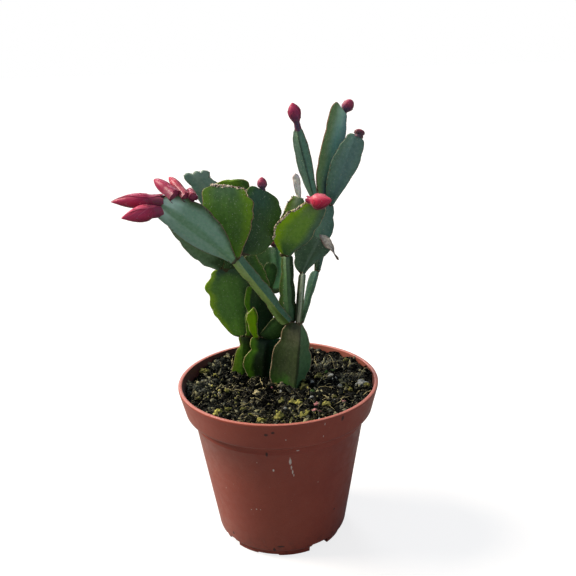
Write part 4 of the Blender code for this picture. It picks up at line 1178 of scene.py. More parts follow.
# each pad's middle, left, right, top and foot colours hold painted light and painted shade as well as its own
# greens; the palest bluish tops, as on the bloom skins, are painted reflection
skins = dict(
    oldOlive=skin("485637", "46582f", "608a5d", "5b6048", "458424",
                  leftAt=(-0.45, -0.9), rightAt=(-0.02, 0.1), footAt=(0.42, 0.1), footLast=True,
                  pores=0.12, line="a99476", lineWidth=0.9),
    oldGreen=skin("092002", "4f8215", "1b5537", "092c17", "3a5a1a",
                  leftAt=(-0.35, -0.8), rightAt=(0.1, 0.6), pores=0.1, line="a8a465", lineWidth=0.9),
    sideGreen=skin("477214", "65871c", "071d01", "2c4018", "3f6a12",
                   pores=0.1, line="8a8450"),
    stalkSage=skin("aed17a", "abd07a", "5e896f", "a7ca8c", "6c9246",
                   rightAt=(0.0, 0.12), pores=0.2, line="8a7a5c", lineWidth=0.5, footAt=(0.5, 0.1)),
    stalkGreen=skin("587d53", "4b682b", "103610", "6d8c66", "517657",
                    leftAt=(-0.45, -0.7), rightAt=(0.35, 0.6), pores=0.2, line="6c7040", lineWidth=0.4),
    stalkCorky=skin("c1d0b2", "35422c", "57784c", "a4b59f", "b6b499",
                    leftAt=(-0.35, -0.6), rightAt=(0.3, 0.6), pores=0.15, line="4a4a36", lineWidth=0.4),
    stalkBlue=skin("5b805f", "6b8c7a", "668e6f", "6b9381", "3f5f3a",
                   line="5b5e44", lineWidth=0.4),
    bloomBlade=skin("98c2aa", "95bda8", "4f6f44", "d5faea", "8db98c",
                    leftAt=(-0.3, -0.9), rightAt=(0.6, 1.0), line="8f6f60", lineWidth=0.7,
                    rib="7fae88", ribWidth=0.3, stripes=0.45, topAt=(0.76, 0.96)),
    discFront=skin("547d32", "699331", "6c9420", "4f744d", "5b8d16",
                   leftAt=(-0.35, -0.9), rightAt=(0.3, 0.85), line="b08d74", lineWidth=0.8),
    discBehind=skin("406233", "4c7a2c", "4e6f30", "436b51", "27481b",
                    topAt=(0.55, 0.8), line="7c8448", lineWidth=0.6),
    discLeft=skin("649545", "9ac62d", "43673c", "42614f", "79af44",
                  leftAt=(-0.6, -0.95), line="8d8a4a", lineWidth=0.5, topAt=(0.8, 1.0)),
    shadeBlade=skin("7ea27c", "86a887", "4a6f31", "97bca8", "35522a",
                    line="6f7450", lineWidth=0.5),
    shadeLeaf=skin("3a5a2c", "4a6d38", "4a6d38", "3a5a2c", "33502a"),
    bloomLeaf=skin("86a596", "7a9c8c", "93ae9e", "93ae9e", "6f9080",
                   line="9a9480", lineWidth=0.8),
    litLeaf=skin("6f9a38", "7ca11d", "5a8040", "7ca632", "56793a",
                 line="b3a86c", lineWidth=0.7),
    rightLeaf=skin("9ca976", "94b03c", "5a7a48", "99a88c", "4f6f3c",
                   line="c9bf96", lineWidth=0.9),
    middleStem=skin("163d1f", "588c0c", "1d3722", "2f4a24", "274926",
                    leftAt=(-0.5, -0.7), pores=0.15, line="9aa070", lineWidth=0.6),
    limeLeaf=skin("a1dd12", "a6da1b", "5d8c11", "9cca28", "93c319",
                  rightAt=(0.35, 0.8), pores=0.15, line="d8cf92", lineWidth=0.6),
    darkLeaf=skin("537f42", "3a5a30", "325a26", "3d5d30", "2a4424",
                  pores=0.2, line="7f8f5c", lineWidth=0.6),
    midLeaf=skin("4b733e", "44622f", "5b8436", "4a6a40", "3a5a2c",
                 line="a3a466", lineWidth=0.6),
    backSlate=skin("67976f", "406335", "9fe5a7", "5a7a62", "9ad69d",
                   leftAt=(-0.1, -0.35), line="7c9a70", lineWidth=0.5),
    discRight=skin("86b446", "a4d414", "5c7f67", "86a868", "4c7745",
                   leftAt=(-0.45, -0.85), rightAt=(-0.05, 0.8), footAt=(0.45, 0.0),
                   line="cdbd90", lineWidth=1.0),
    greySlate=skin("527254", "5f7f60", "628570", "5f7a66", "44604a",
                   line="6f7860", lineWidth=0.5, rib="6f8a72"),
    stemBlue=skin("779b88", "1e2e1f", "648b7d", "658876", "1e3a1d",
                  leftAt=(-0.4, -0.85), line="6b6650", lineWidth=0.5),
    slateInner=skin("52756c", "6b897b", "72a18a", "6f9078", "4c6f50",
                    rightAt=(0.12, 0.3), line="6e5f4c", lineWidth=0.5, rib="405c48", ribWidth=0.1),
    slateTop=skin("88bcb4", "83a369", "7ca6a6", "b9e5c7", "134675",
                  leftAt=(0.1, -0.75), footAt=(0.5, 0.12), line="8c5c50", lineWidth=0.9, stripes=0.5),
    slateOuter=skin("739994", "739985", "779d91", "759b93", "476b62",
                    line="6e6656", lineWidth=0.5, stripes=0.35),
)


def smoothAt(points, share):
    # the value at a share of the length on a smooth curve through (share, value) points
    if share <= points[0][0]:
        return points[0][1]
    slopes = []
    for i in range(len(points)):
        before = points[max(i - 1, 0)]
        after = points[min(i + 1, len(points) - 1)]
        slopes.append((after[1] - before[1]) / (after[0] - before[0]))
    for i in range(len(points) - 1):
        (x0, y0), (x1, y1) = points[i], points[i + 1]
        if share <= x1:
            span = x1 - x0
            t = (share - x0) / span
            ends = y0 * (1 + 2 * t) * (1 - t) ** 2 + y1 * t * t * (3 - 2 * t)
            return ends + span * (slopes[i] * t * (1 - t) ** 2 + slopes[i + 1] * t * t * (t - 1))
    return points[-1][1]


def halfWidth(pad, sign, share):
    # half width of one side, with its notches and the rounded knuckle at a seated foot
    width = smoothAt(pad["left" if sign < 0 else "right"], share)
    for nick in pad["nicks"][0 if sign < 0 else 1]:
        away = abs(share - nick) * pad["length"] / padRule["nickReach"]
        depth = pad.get("notch", 1) * min(padRule["nickDepth"], 0.3 + 0.1 * width)
        width -= depth * max(0.0, 1 - away) ** 1.5
    if "on" in pad:
        missing = max(0.0, 1 - share * pad["length"] / pad["neck"])
        width *= math.sqrt(1 - 0.75 * missing * missing)
    return width


def centreLine(pad, share):
    across = pad.get("ridgeAt", 0) * math.sin(math.pi * min(share, 0.5))
    return across, pad.get("bend", 0) * 4 * share * (1 - share)


def padPoint(pad, u, share):
    # a point in the pad's middle layer, u from -1 at the left edge to 1 at the right
    ribAcross, ribFront = centreLine(pad, share)
    sign = -1 if u < 0 else 1
    x = ribAcross + abs(u) * (sign * halfWidth(pad, sign, share) - ribAcross)
    lift = -pad.get("slant", 0) * u * max(0.0, 5 * share - 4)
    up = share * pad["length"] + lift
    return pad["base"] + pad["along"] * up + pad["across"] * x + pad["front"] * ribFront


def seatedAt(pad, placed):
    # the middle of a piece's rounded foot, a gap away from the edge it grew from
    parent = placed[pad["on"]]
    if "edge" in pad:
        sign = -1 if pad["edge"][0] == "left" else 1
        return padPoint(parent, sign, pad["edge"][1]) + parent["across"] * sign * (pad["neck"] + jointGap)
    across, front = pad["seat"]
    sign = -1 if across < 0 else 1
    u = across / max(halfWidth(parent, sign, 1.0), 1.0)
    point = padPoint(parent, u, 1.0) + parent["front"] * front
    return point + parent["along"] * (pad["neck"] + jointGap)


def placePad(pad, placed, neck, margin):
    # works out a pad's own directions in space
    pad["neck"] = neck
    pad["margin"] = margin
    pad["tip"] = Vector(pad["tip"])
    if "on" in pad:
        pad["foot"] = seatedAt(pad, placed)
        pad["base"] = pad["foot"] - (pad["tip"] - pad["foot"]).normalized() * neck
    else:
        pad["base"] = Vector(pad["seat"])
    along = pad["tip"] - pad["base"]
    pad["length"] = along.length
    pad["along"] = along.normalized()
    front = (towardsFront - pad["along"] * towardsFront.dot(pad["along"])).normalized()
    across = pad["along"].cross(front)
    turn = math.radians(pad.get("turn", 0))
    pad["across"] = across * math.cos(turn) + front * math.sin(turn)
    pad["front"] = front * math.cos(turn) - across * math.sin(turn)


def newSlab(columns, rows):
    # a flat grid given a back by extruding it, ready to be shaped as a pad
    bpy.ops.object.select_all(action="DESELECT")
    bpy.ops.mesh.primitive_grid_add(x_subdivisions=columns, y_subdivisions=rows, size=2)
    piece = bpy.context.object
    editAll(piece)
    bpy.ops.mesh.extrude_region_move(TRANSFORM_OT_translate={"value": (0, 0, -1)})
    bpy.ops.mesh.select_all(action="SELECT")
    bpy.ops.mesh.normals_make_consistent(inside=False)
    leaveEdit()
    return piece


def copyOf(model):
    piece = bpy.data.objects.new("copy", model.data.copy())
    bpy.context.scene.collection.objects.link(piece)
    return piece


def shapePad(piece, pad, seed, crumple=0.0):
    # moves a slab's points onto the pad: closer rows and columns near its edges
    raw = coordsOf(piece.data)
    u = np.sin(raw[:, 0] * math.pi / 2)
    t = (raw[:, 1] + 1) / 2
    share = 0.6 * t + 0.4 * (1 - np.cos(math.pi * t)) / 2
    face = np.where(raw[:, 2] > -0.5, 1.0, -1.0)
    rows, rowOf = np.unique(np.round(share, 6), return_inverse=True)
    length = pad["length"]
    sides = []
    for sign in (-1, 1):
        widths = []
        for row in rows:
            width = halfWidth(pad, sign, row)
            wobble = noise.noise(Vector((row * length / 2.3, seed * 3.7, sign)))
            width += padRule["ripple"] * wobble * min(1.0, width / 4)
            corner = max(0.0, 1 - (1 - row) * length / pad.get("round", padRule["cornerRound"]))
            widths.append(width - 0.8 * pad.get("round", padRule["cornerRound"]) * corner ** 2)
        sides.append(np.array(widths))
    ribAcross = np.array([centreLine(pad, row)[0] for row in rows])[rowOf]
    ribFront = np.array([centreLine(pad, row)[1] for row in rows])[rowOf]
    edge = np.where(u < 0, -sides[0][rowOf], sides[1][rowOf])
    x = ribAcross + np.abs(u) * (edge - ribAcross)
    crown = 1 - np.abs(u)
    edgeAway = crown * np.abs(edge - ribAcross)
    tipAway = (1 - share) * length
    fullness = np.minimum(1.0, np.minimum(0.55 + 3 * share, 0.6 + 4 * (1 - share)))
    rib = np.maximum((pad["rib"] / 2 - pad["margin"]) * fullness, 0.1)
    margin = pad["margin"] * np.minimum(1.0, 0.6 + 8 * share)
    thick = margin + rib * crown ** 1.4
    ridgeRise = np.minimum(1.0, np.minimum(5 * share, 0.45 + 3 * (1 - share)))
    ridge = np.where(face > 0, pad.get("ridge", 0) * ridgeRise * crown ** 1.8, 0)
    roundSide = np.sqrt(1 - np.clip(1 - edgeAway / margin, 0, 1) ** 2)
    roundTip = np.sqrt(1 - np.clip(1 - tipAway / thick, 0, 1) ** 2)
    roundness = np.maximum(roundSide * roundTip, 0.12)
    swell = np.zeros(len(u))
    wave = np.zeros(len(u))
    for i in range(len(u)):
        place = Vector((x[i], share[i] * length, seed * 11.0))
        swell[i] = noise.noise(place / 6.0)
        if crumple:
            wave[i] = noise.noise(place / 3.0) + 0.5 * noise.noise(place / 1.2)
    thick = (thick + padRule["swell"] * swell * np.minimum(1, edgeAway / 2)) * roundness
    bow = pad.get("wave", 0) * np.sin(9 * share + 2 * u) * np.abs(u) + crumple * wave
    n = ribFront + bow + face * (thick + ridge)
    lift = -pad.get("slant", 0) * u * np.maximum(0, 5 * share - 4)
    lobes = np.abs(np.sin(pad.get("scallops", 2) * math.pi * (u + 1) / 2)) - 0.6
    lift += pad.get("scallop", 0.25) * lobes * np.maximum(0, 5 * share - 4)
    if "on" in pad:
        # the foot reaches into the edge that it grew from
        lift -= pad.get("sink", padRule["sink"]) * np.maximum(0, 1 - share * length / padRule["sinkReach"])
    points = (
        np.array(pad["base"])
        + np.outer(share * length + lift, np.array(pad["along"]))
        + np.outer(x, np.array(pad["across"]))
        + np.outer(n, np.array(pad["front"]))
    )
    putCoords(piece.data, points * mm + np.array(potAxis))
    putAttribute(piece.data, "sideU", u)
    putAttribute(piece.data, "share", share)
    putAttribute(piece.data, "edgeMm", np.minimum(edgeAway, tipAway + 0.3))
    putAttribute(piece.data, "footMm", share * length if "on" in pad else share * length + 50)
    putAttribute(piece.data, "acrossMm", x)
    putAttribute(piece.data, "alongMm", share * length)


def padSkinLitAndShaded(name, look):
    # living epidermis: a waxy cuticle over green tissue, so a leathery skin with a soft broad gloss
    settings = {
        "IOR": 1.42, "Specular IOR Level": 0.33, "Subsurface Weight": 0.05, "Subsurface Scale": 0.0008
    }
    material, tree, shader = newMaterial(name, settings)
    shader.inputs["Subsurface Radius"].default_value = (0.5, 1.0, 0.25)
    side = readAttribute(tree, "sideU")
    edge = readAttribute(tree, "edgeMm")
    soft = swing(tree, 8, 2, 0.3)
    turned = calc(tree, "ADD", side, soft)
    raised = calc(tree, "ADD", readAttribute(tree, "share"), soft)
    # painted light and painted shade: the middle, the top, the foot and each side carry how light falls on
    # them, over the pad's own greens
    tone = mixColours(tree, fade(tree, raised, *look["topAt"]), look["middle"], look["top"])
    tone = mixColours(tree, fade(tree, raised, *look["footAt"]), tone, look["foot"])
    tone = mixColours(tree, fade(tree, turned, *look["leftAt"], 0, 0.95), tone, look["left"])
    rightEdge = side if look["rightAt"][0] < 0.1 else turned
    tone = mixColours(tree, fade(tree, rightEdge, *look["rightAt"], 0, 0.95), tone, look["right"])
    if look.get("footLast"):
        lowDown = fade(tree, raised, *look["footAt"])
        onLeft = calc(tree, "MULTIPLY", lowDown, fade(tree, turned, -0.1, -0.45))
        tone = mixColours(tree, onLeft, tone, look["foot"])
    if look["rib"]:
        nearRib = fade(tree, calc(tree, "ABSOLUTE", side), look["ribWidth"], 0.3 * look["ribWidth"], 0, 0.85)
        tone = mixColours(tree, nearRib, tone, look["rib"])
    # long faint stripes of the water tissue, slight mottling and pale breathing pores
    stripe = addNode(tree, "CombineXYZ", links=[
        (0, calc(tree, "MULTIPLY", readAttribute(tree, "acrossMm"), 1 / 1.7)),
        (1, calc(tree, "MULTIPLY", readAttribute(tree, "alongMm"), 1 / 40)),
    ]).outputs[0]
    stripes = addNode(tree, "TexNoise", {"Scale": 1.0, "Detail": 1.0}, [("Vector", stripe)]).outputs["Fac"]
    tone = mixColours(tree, fade(tree, stripes, 0.4, 0.7, 0.0, look["stripes"]), tone, "a8bca4", "SOFT_LIGHT")
    mottle = grain(tree, 1.8, 3)
    tone = mixColours(tree, fade(tree, mottle, 0.35, 0.65, 0, 0.26), tone, "202c1c", "SOFT_LIGHT")
    tone = blotch(tree, tone, "b4c4a2", 0.8, 1, 0.67, 0.72, look["pores"])
    # dry line along the margin, a few brown marks beside it, and a brown foot
    ragged = calc(tree, "ADD", edge, swing(tree, 2.0, 3, 0.7))
    line = fade(tree, ragged, 0.6 * look["lineWidth"], 0.2 * look["lineWidth"], 0, 0.85)
    tone = mixColours(tree, line, tone, look["line"])
    near = fade(tree, edge, 1.6, 0.2)
    scars = calc(tree, "MULTIPLY", near, fade(tree, grain(tree, 1.2, 2), 0.58, 0.66, 0, 0.85))
    tone = mixColours(tree, scars, tone, "5a3b2a")
    footAway = calc(tree, "ADD", readAttribute(tree, "footMm"), grain(tree, 1.5, 3))
    tone = mixColours(tree, fade(tree, footAway, 2.5, 1.5, 0, 0.85), tone, "4a3a26")
    layers = [(grain(tree, 0.5, 2), 0.018), (mottle, 0.05), (stripes, 0.12), (grain(tree, 6, 2), 0.2)]
    surface(tree, shader, tone, (3, 3, 0.42, 0.55), layers)
    return material


def makePads():
    slab = newSlab(padRule["columns"], padRule["rows"])
    for seed, (name, pad) in enumerate(pads.items()):
        placePad(pad, pads, padRule["neck"], padRule["margin"])
        piece = copyOf(slab)
        shapePad(piece, pad, seed)
        material = padSkinLitAndShaded(f"{pad['skin']}Skin{seed}", skins[pad["skin"]])
        finishPiece(piece, f"{name}Skin", [name], material)
    forget([slab])


makePads()
print("pads made")


# buds
budRule = dict(
    foot=0.5, wideFoot=0.62, belly=0.88, rows=22, sides=18, across=8, up=16, wall=0.16, sink=1.6, core=0.05
)
# seat and point; wide is the foot's radius in shares of the greatest one, late moves the belly to the foot
# when small, blunt fills both ends, behind and sunk take the foot behind its pad and into it
buds = {
    "bud_left_upper": dict(
        on="blade_left", seat=(0.6, 0.8), tip=(-87.1, -16, 213.2), radius=4, wide=0.85, bow=0.2, behind=1.8
    ),
    "bud_left_lower": dict(
        on="blade_left", seat=(-3.5, 1.9), tip=(-78.9, -31, 207.3), radius=4.5, wide=0.98, late=0.75,
        behind=1.2, look="litBud"
    ),
    "bud_left_back": dict(
        on="blade_left", edge=("right", 0.975), tip=(-63.8, -7.5, 223.4), radius=3.3, wide=1.2, late=0.72,
        blunt=0.5, behind=4.4, sunk=5.5
    ),
    "bud_left_edge": dict(
        on="blade_left", edge=("right", 0.885), tip=(-56, -4, 223.8), radius=2.5, wide=1.1, blunt=0.5,
        behind=4.2, sunk=5.5, look="pinkTip"
    ),
    "bud_left_inner": dict(
        on="blade_left", edge=("right", 0.8), tip=(-45.8, -5, 216.4), radius=2.4, wide=1, blunt=0.5,
        behind=4.2, sunk=5.5, look="pinkTip"
    ),
    "bud_disc_behind": dict(
        on="disc_behind", seat=(1.6, 0), tip=(-5.6, 10, 219.8), radius=2.8, blunt=0.5, look="purpleFoot"
    ),
    "bud_right_inner": dict(
        on="blade_right_inner", seat=(0, 0), tip=(12.9, 17, 260.1), radius=3.7, wide=0.55, late=1.45,
        look="purpleNeck"
    ),
    "bud_right_top": dict(
        on="blade_right_top", seat=(3.6, 0), tip=(47.3, 29, 259.8), radius=3.3, wide=0.5, blunt=0.9,
        behind=1.6, look="purpleFoot"
    ),
    "bud_right_outer": dict(
        on="blade_right_outer", seat=(1.4, 0), tip=(51, 15.5, 244.4), radius=3, wide=0.9, blunt=0.9,
        behind=1.6, look="darkBud"
    ),
    "bud_right_front": dict(
        on="disc_right_front", seat=(-4.6, 1.6), tip=(32.9, -14, 210.2), radius=4.3, wide=0.5, late=0.82,
        blunt=0.2, bow=1.0, look="brightBud"
    ),
    "bud_middle_back": dict(
        on="middle_leaf_back", seat=(0, 0), tip=(-2.4, 35, 176.9), radius=2.6, blunt=0.5, look="darkBud"
    ),
}
# foot, belly, point, petal edge, the painted highlight on the upper side and how strong, where the foot's
# colour ends
budLooks = dict(
    plain=("8a3c5c", "b02655", "c3325b", "d65e85", "d3416b", 0.35, 0.05),
    litBud=("a03c66", "cf305e", "db3e68", "f07c98", "ef6582", 0.5, 0.05),
    pinkTip=("8b3055", "a01a44", "da3e59", "d87782", "d95169", 0.4, 0.05),
    purpleNeck=("56486c", "a83462", "d03c66", "d86080", "e8607a", 0.3, 0.3),
    purpleFoot=("58466c", "9c3e5d", "d0446b", "dd8599", "df5473", 0.4, 0.3),
    darkBud=("544858", "7b3e50", "b6314d", "b47480", "b75b69", 0.3, 0.3),
    brightBud=("a82d5b", "e2224d", "e23059", "f38d9b", "ed6e83", 0.9, 0.05),
)
# whorls of petals: how many, where they start and end, half their spread, how far they stand off
whorls = ((4, 0.0, 0.42, 0.66, 0.04), (4, 0.05, 0.7, 0.85, 0.04), (3, 0.16, 0.985, 1.15, 0.03))


def budRadius(bud, share):
    power = 0.9 - 0.45 * bud.get("blunt", 0.0)
    belly = math.sin(math.pi * share ** bud.get("late", budRule["belly"])) ** power
    foot = bud.get("wide", budRule["wideFoot"]) * bud["radius"] * (1 - share) ** 0.6
    return max(foot, bud["radius"] * belly * min(1.0, 0.35 + 2.2 * share))


def onBud(bud, share, turn, off):
    # a point on the bud, off being how far it stands off the plain body, in shares of the radius
    size = budRadius(bud, share) * (1 + off)
    turn = turn + 0.5 * share
    bow = bud.get("bow", 0) * math.sin(math.pi * share)
    sunk = bud.get("sunk", budRule["sink"]) * (1 - share) ** 3
    behind = pads[bud["on"]]["front"] * (bud.get("behind", 0) * (1 - share))
    return (
        bud["base"]
        - behind
        + bud["along"] * (share * bud["length"] - sunk)
        + bud["across"] * (size * math.cos(turn) + bow)
        + bud["front"] * (size * math.sin(turn))
    )


def shapeBud(bud):
    # petals over a closed core: points, faces and, for the colour, share and closeness to a petal edge
    points, faces, shares, edges = [], [], [], []
    rows, sides = budRule["rows"], budRule["sides"]
    for i in range(1, rows):
        for k in range(sides):
            points.append(onBud(bud, i / rows, math.tau * k / sides, -budRule["core"]))
            shares.append(i / rows)
            edges.append(0.0)
    points += [onBud(bud, 0.0, 0, -1.0), onBud(bud, 0.995, 0, -1.0)]
    shares += [0.0, 1.0]
    edges += [0.0, 0.0]
    foot, point = len(points) - 2, len(points) - 1
    for k in range(sides):
        after = (k + 1) % sides
        faces.append((foot, after, k))
        faces.append((point, (rows - 2) * sides + k, (rows - 2) * sides + after))
        for i in range(rows - 2):
            faces.append((i * sides + k, i * sides + after, (i + 1) * sides + after, (i + 1) * sides + k))
    wall = budRule["wall"] / bud["radius"]
    for level, (count, begin, end, spread, stand) in enumerate(whorls):
        for petal in range(count):
            middle = math.tau * (petal + 0.5 * (level % 2)) / count + 0.7 * level
            start = len(points)
            for layer in (0, 1):
                for i in range(budRule["up"] + 1):
                    t = i / budRule["up"]
                    wide = spread * (math.sin(math.pi * (0.12 + 0.88 * t) ** 0.8) ** 0.62 if t < 1 else 0.0)
                    for k in range(budRule["across"] + 1):
                        w = 2 * k / budRule["across"] - 1
                        share = begin + (end - begin) * t * (1 - 0.04 * w * w)
                        off = stand + 0.045 * w + 0.05 * t ** 3 * (1 - level / 3)
                        off -= 0.03 * (1 - abs(w)) ** 2
                        if layer:
                            off -= wall
                        points.append(onBud(bud, share, middle + wide * w, off))
                        shares.append(share)
                        edges.append(max(abs(w) ** 3, t ** 6))
            wideCount = budRule["across"] + 1
            layerCount = wideCount * (budRule["up"] + 1)
            for i in range(budRule["up"]):
                for k in range(budRule["across"]):
                    a = start + i * wideCount + k
                    faces.append((a, a + 1, a + 1 + wideCount, a + wideCount))
                    b = a + layerCount
                    faces.append((b, b + wideCount, b + 1 + wideCount, b + 1))
            rim = list(range(wideCount))
            rim += [i * wideCount + budRule["across"] for i in range(1, budRule["up"] + 1)]
            rim += [budRule["up"] * wideCount + k for k in range(budRule["across"] - 1, -1, -1)]
            rim += [i * wideCount for i in range(budRule["up"] - 1, 0, -1)]
            for here, after in zip(rim, rim[1:] + rim[:1]):
                first, second = start + here, start + after
                faces.append((first, first + layerCount, second + layerCount, second))
    return points, faces, shares, edges


def petalFinish(name, look):
    # closed petals: satin and faintly translucent, paler at their edges, scurfy near the foot
    foot, belly, point, edgeTone, paintedGleam, gleamShare, footEnd = budLooks[look]
    settings = {"IOR": 1.4, "Subsurface Weight": 0.1, "Subsurface Scale": 0.001, "Sheen Weight": 0.15}
    material, tree, shader = newMaterial(name, settings)
    uneven = calc(tree, "ADD", readAttribute(tree, "share"), swing(tree, 3, 3, 0.35))
    ramp = {"ramp": ((footEnd, foot), (footEnd + 0.3, belly), (1.0, point))}
    tone = addNode(tree, "ValToRGB", ramp, [(0, uneven)]).outputs[0]
    tone = mixColours(tree, fade(tree, readAttribute(tree, "petalEdge"), 0.5, 1.0, 0, 0.7), tone, edgeTone)
    scurf = fade(tree, grain(tree, 1.0, 3), 0.45, 0.62, 0, 0.4)
    low = calc(tree, "MULTIPLY", fade(tree, uneven, 0.5, 0.1), scurf)
    tone = mixColours(tree, low, tone, "8a6048")
    # painted highlight on the upper side, painted shade on the underside
    upSide = readAttribute(tree, "upSide")
    tone = mixColours(tree, fade(tree, upSide, 0.1, 1.0, 0, gleamShare), tone, paintedGleam)
    tone = mixColours(tree, fade(tree, upSide, 0.1, -0.9, 0, 0.7), tone, "45122c")
    tone = blotch(tree, tone, edgeTone, 0.6, 2, 0.62, 0.72, 0.3)
    layers = [(grain(tree, 0.5, 3), 0.05), (grain(tree, 2, 2), 0.12)]
    surface(tree, shader, tone, (1.5, 2, 0.3, 0.48), layers)
    return material


def makeBuds():
    for name, bud in buds.items():
        placePad(bud, pads, budRule["foot"] * bud["radius"], padRule["margin"])
        points, faces, shares, edges = shapeBud(bud)
        piece = meshOf([toWorld(point) for point in points], faces, name)
        putAttribute(piece.data, "share", shares)
        putAttribute(piece.data, "petalEdge", edges)
        middles = [onBud(bud, share, 0, -1.0) for share in shares]
        ups = [(point - middle).z / bud["radius"] for point, middle in zip(points, middles)]
        putAttribute(piece.data, "upSide", ups)
        editAll(piece)
        bpy.ops.mesh.remove_doubles(threshold=0.00001)
        bpy.ops.mesh.normals_make_consistent(inside=False)
        leaveEdit()
        material = petalFinish(f"{name}Petals", bud.get("look", "plain"))
        finishPiece(piece, f"{name}Petals", [name], material, 50)


makeBuds()
print("buds made")


# dry remnants
remnants = {
    "dry_flower_remnant": dict(
        on="leaf_right_behind", seat=(0, 0), tip=(13.7, 13, 220.9), rib=1.6, wave=0.8,
        left=((0, 1), (0.25, 1.7), (0.6, 2.5), (0.85, 2), (1, 0.7)),
        right=((0, 1), (0.3, 2.2), (0.6, 2.4), (0.85, 1.8), (1, 0.6)),
        nicks=((0.6,), (0.4,)), colours=("fff6f0", "b8847a", "ffffff"),
    ),
    "dry_leaf_remnant": dict(
        on="leaf_right_low", seat=(2, 0.8), tip=(37.3, 0, 172.3), rib=1.5, turn=25, wave=1.4,
        left=((0, 1), (0.08, 2.8), (0.27, 3.3), (0.51, 2.6), (0.7, 0.9), (1, 0.5)),
        right=((0, 1), (0.16, 1.7), (0.44, 1.6), (0.65, 0.9), (1, 0.5)),
        nicks=((0.4,), (0.6,)), colours=("8f8c85", "54282c", "b5b2aa"),
    ),
}
remnantRule = dict(neck=1.0, margin=0.35, crumple=0.5, columns=20, rows=40, seed=50)


def paperFinish(name, colours):
    # dead, dried petal tissue: papery, matt, with darker veins and folds
    plain, dark, light = colours
    material, tree, shader = newMaterial(name, {"IOR": 1.4, "Specular IOR Level": 0.25})
    tone = blotch(tree, plain, light, 1.4, 4, 0.35, 0.65)
    tone = mixColours(tree, fade(tree, readAttribute(tree, "edgeMm"), 0.7, 0.1, 0, 0.6), tone, dark)
    tone = blotch(tree, tone, dark, 1.0, 3, 0.58, 0.7, 0.6)
    layers = [(grain(tree, 0.6, 4), 0.15), (grain(tree, 2, 2), 0.3)]
    surface(tree, shader, tone, (1, 2, 0.7, 0.95), layers)
    return material


def makeRemnants():
    slab = newSlab(remnantRule["columns"], remnantRule["rows"])
    for seed, (name, spec) in enumerate(remnants.items()):
        placePad(spec, pads, remnantRule["neck"], remnantRule["margin"])
        piece = copyOf(slab)
        shapePad(piece, spec, remnantRule["seed"] + seed, remnantRule["crumple"])
        finishPiece(piece, f"{name}Paper", [name], paperFinish(f"{name}Paper", spec["colours"]))
    forget([slab])


makeRemnants()
print("dry remnants made")


# areoles: felt cushions and bristles in the notches and along the tips, and corky joints
areoles = dict(seed=9, felt=0.6, tipStep=0.85, bristle=1.1, bristleWidth=0.12, chainStep=0.42)
woolly = dict(disc_front=1.2, disc_right_front=1.1, leaf_right_behind=1.1, blade_back_left=0.9)
# woolly margins: pad, side (0 for the tip), first and last place along it, size in mm, paleness
chains = (
    ("disc_front", 0, -0.92, 0.86, 1.5, 1.1), ("disc_front", 0, -0.9, 0.8, 1.1, 1.0),
    ("disc_front", 1, 0.86, 1.0, 0.9, 0.8), ("disc_right_front", -1, 0.2, 0.97, 1.25, 0.95),
    ("disc_right_front", -1, 0.24, 0.95, 0.8, 0.35), ("leaf_right_behind", -1, 0.42, 1.0, 0.9, 0.9),
    ("middle_leaf_front", 1, 0.06, 0.95, 0.36, 0.7), ("base_front", -1, 0.04, 0.72, 0.36, 0.6),
    ("base_middle", -1, 0.08, 0.8, 0.36, 0.7), ("leaf_lime", -1, 0.8, 1.0, 0.5, 0.95),
    ("leaf_lime", 0, -0.9, 0.5, 0.5, 0.95), ("base_left", -1, 0.1, 0.75, 0.3, 0.5),
    ("blade_left", -1, 0.12, 0.7, 0.34, 0.25), ("blade_left", 0, -0.9, 0.9, 0.4, 0.6),
    ("leaf_small", -1, 0.2, 0.98, 0.3, 0.5), ("middle_leaf_back", -1, 0.3, 0.9, 0.28, 0.5),
)
# stalks whose front ridge carries areoles: pad, place across it, first and last share, step in mm
ridges = (
    ("stalk_front", 0.04, 0.08, 0.97, 3.2), ("stalk_center", -0.5, 0.1, 0.95, 4.0),
    ("stalk_thin", 0.0, 0.2, 0.95, 6.0), ("base_front", 0.03, 0.3, 0.98, 6.0),
)


def onFront(pad, u, share):
    # a point on a pad's front face
    full = min(1.0, 0.55 + 3 * share, 0.6 + 4 * (1 - share))
    crown = 1 - abs(u)
    rise = min(1.0, 5 * share, 0.45 + 3 * (1 - share))
    thick = pad["margin"] + max((pad["rib"] / 2 - pad["margin"]) * full, 0.1) * crown ** 1.4
    return padPoint(pad, u, share) + pad["front"] * (thick + pad.get("ridge", 0) * rise * crown ** 1.8)


def feltFinish():
    # woolly areoles: a matt tan fuzz, pinkish white where it is freshest
    settings = {"IOR": 1.4, "Sheen Weight": 0.5, "Specular IOR Level": 0.15}
    material, tree, shader = newMaterial("areoleFelt", settings)
    tone = byTint(tree, ((0, "3a2a20"), (0.25, "8c7454"), (0.6, "dcc8a2"), (1, "fff0e0")))
    tone = blotch(tree, tone, "4a3a2a", 0.5, 3, 0.45, 0.7, 0.35)
    surface(tree, shader, tone, (0.7, 2, 0.8, 1.0), [(grain(tree, 0.25, 3), 0.12)])
    return material


def corkFinish():
    # the woody joint between two pads: dry brown cork, greenish in places
    material, tree, shader = newMaterial("jointCork", {"IOR": 1.4, "Specular IOR Level": 0.25})
    tone = blotch(tree, "33271d", "6e5a3e", 0.9, 4, 0.35, 0.65)
    tone = blotch(tree, tone, "5d6a3c", 2.0, 3, 0.5, 0.75, 0.6)
    surface(tree, shader, tone, (0.7, 2, 0.7, 0.95), [(grain(tree, 0.5, 4), 0.25)])
    return material


def feltAt(places, rng, point, outward, front, size, tint):
    # one small cushion, longer along the edge than it is high
    side = outward.cross(front)
    matrix = Matrix((side * size * 1.15, front * size * 0.9, outward * size * 0.75)).transposed()
    places.append((rng.randrange(2), matrix, point, tint))


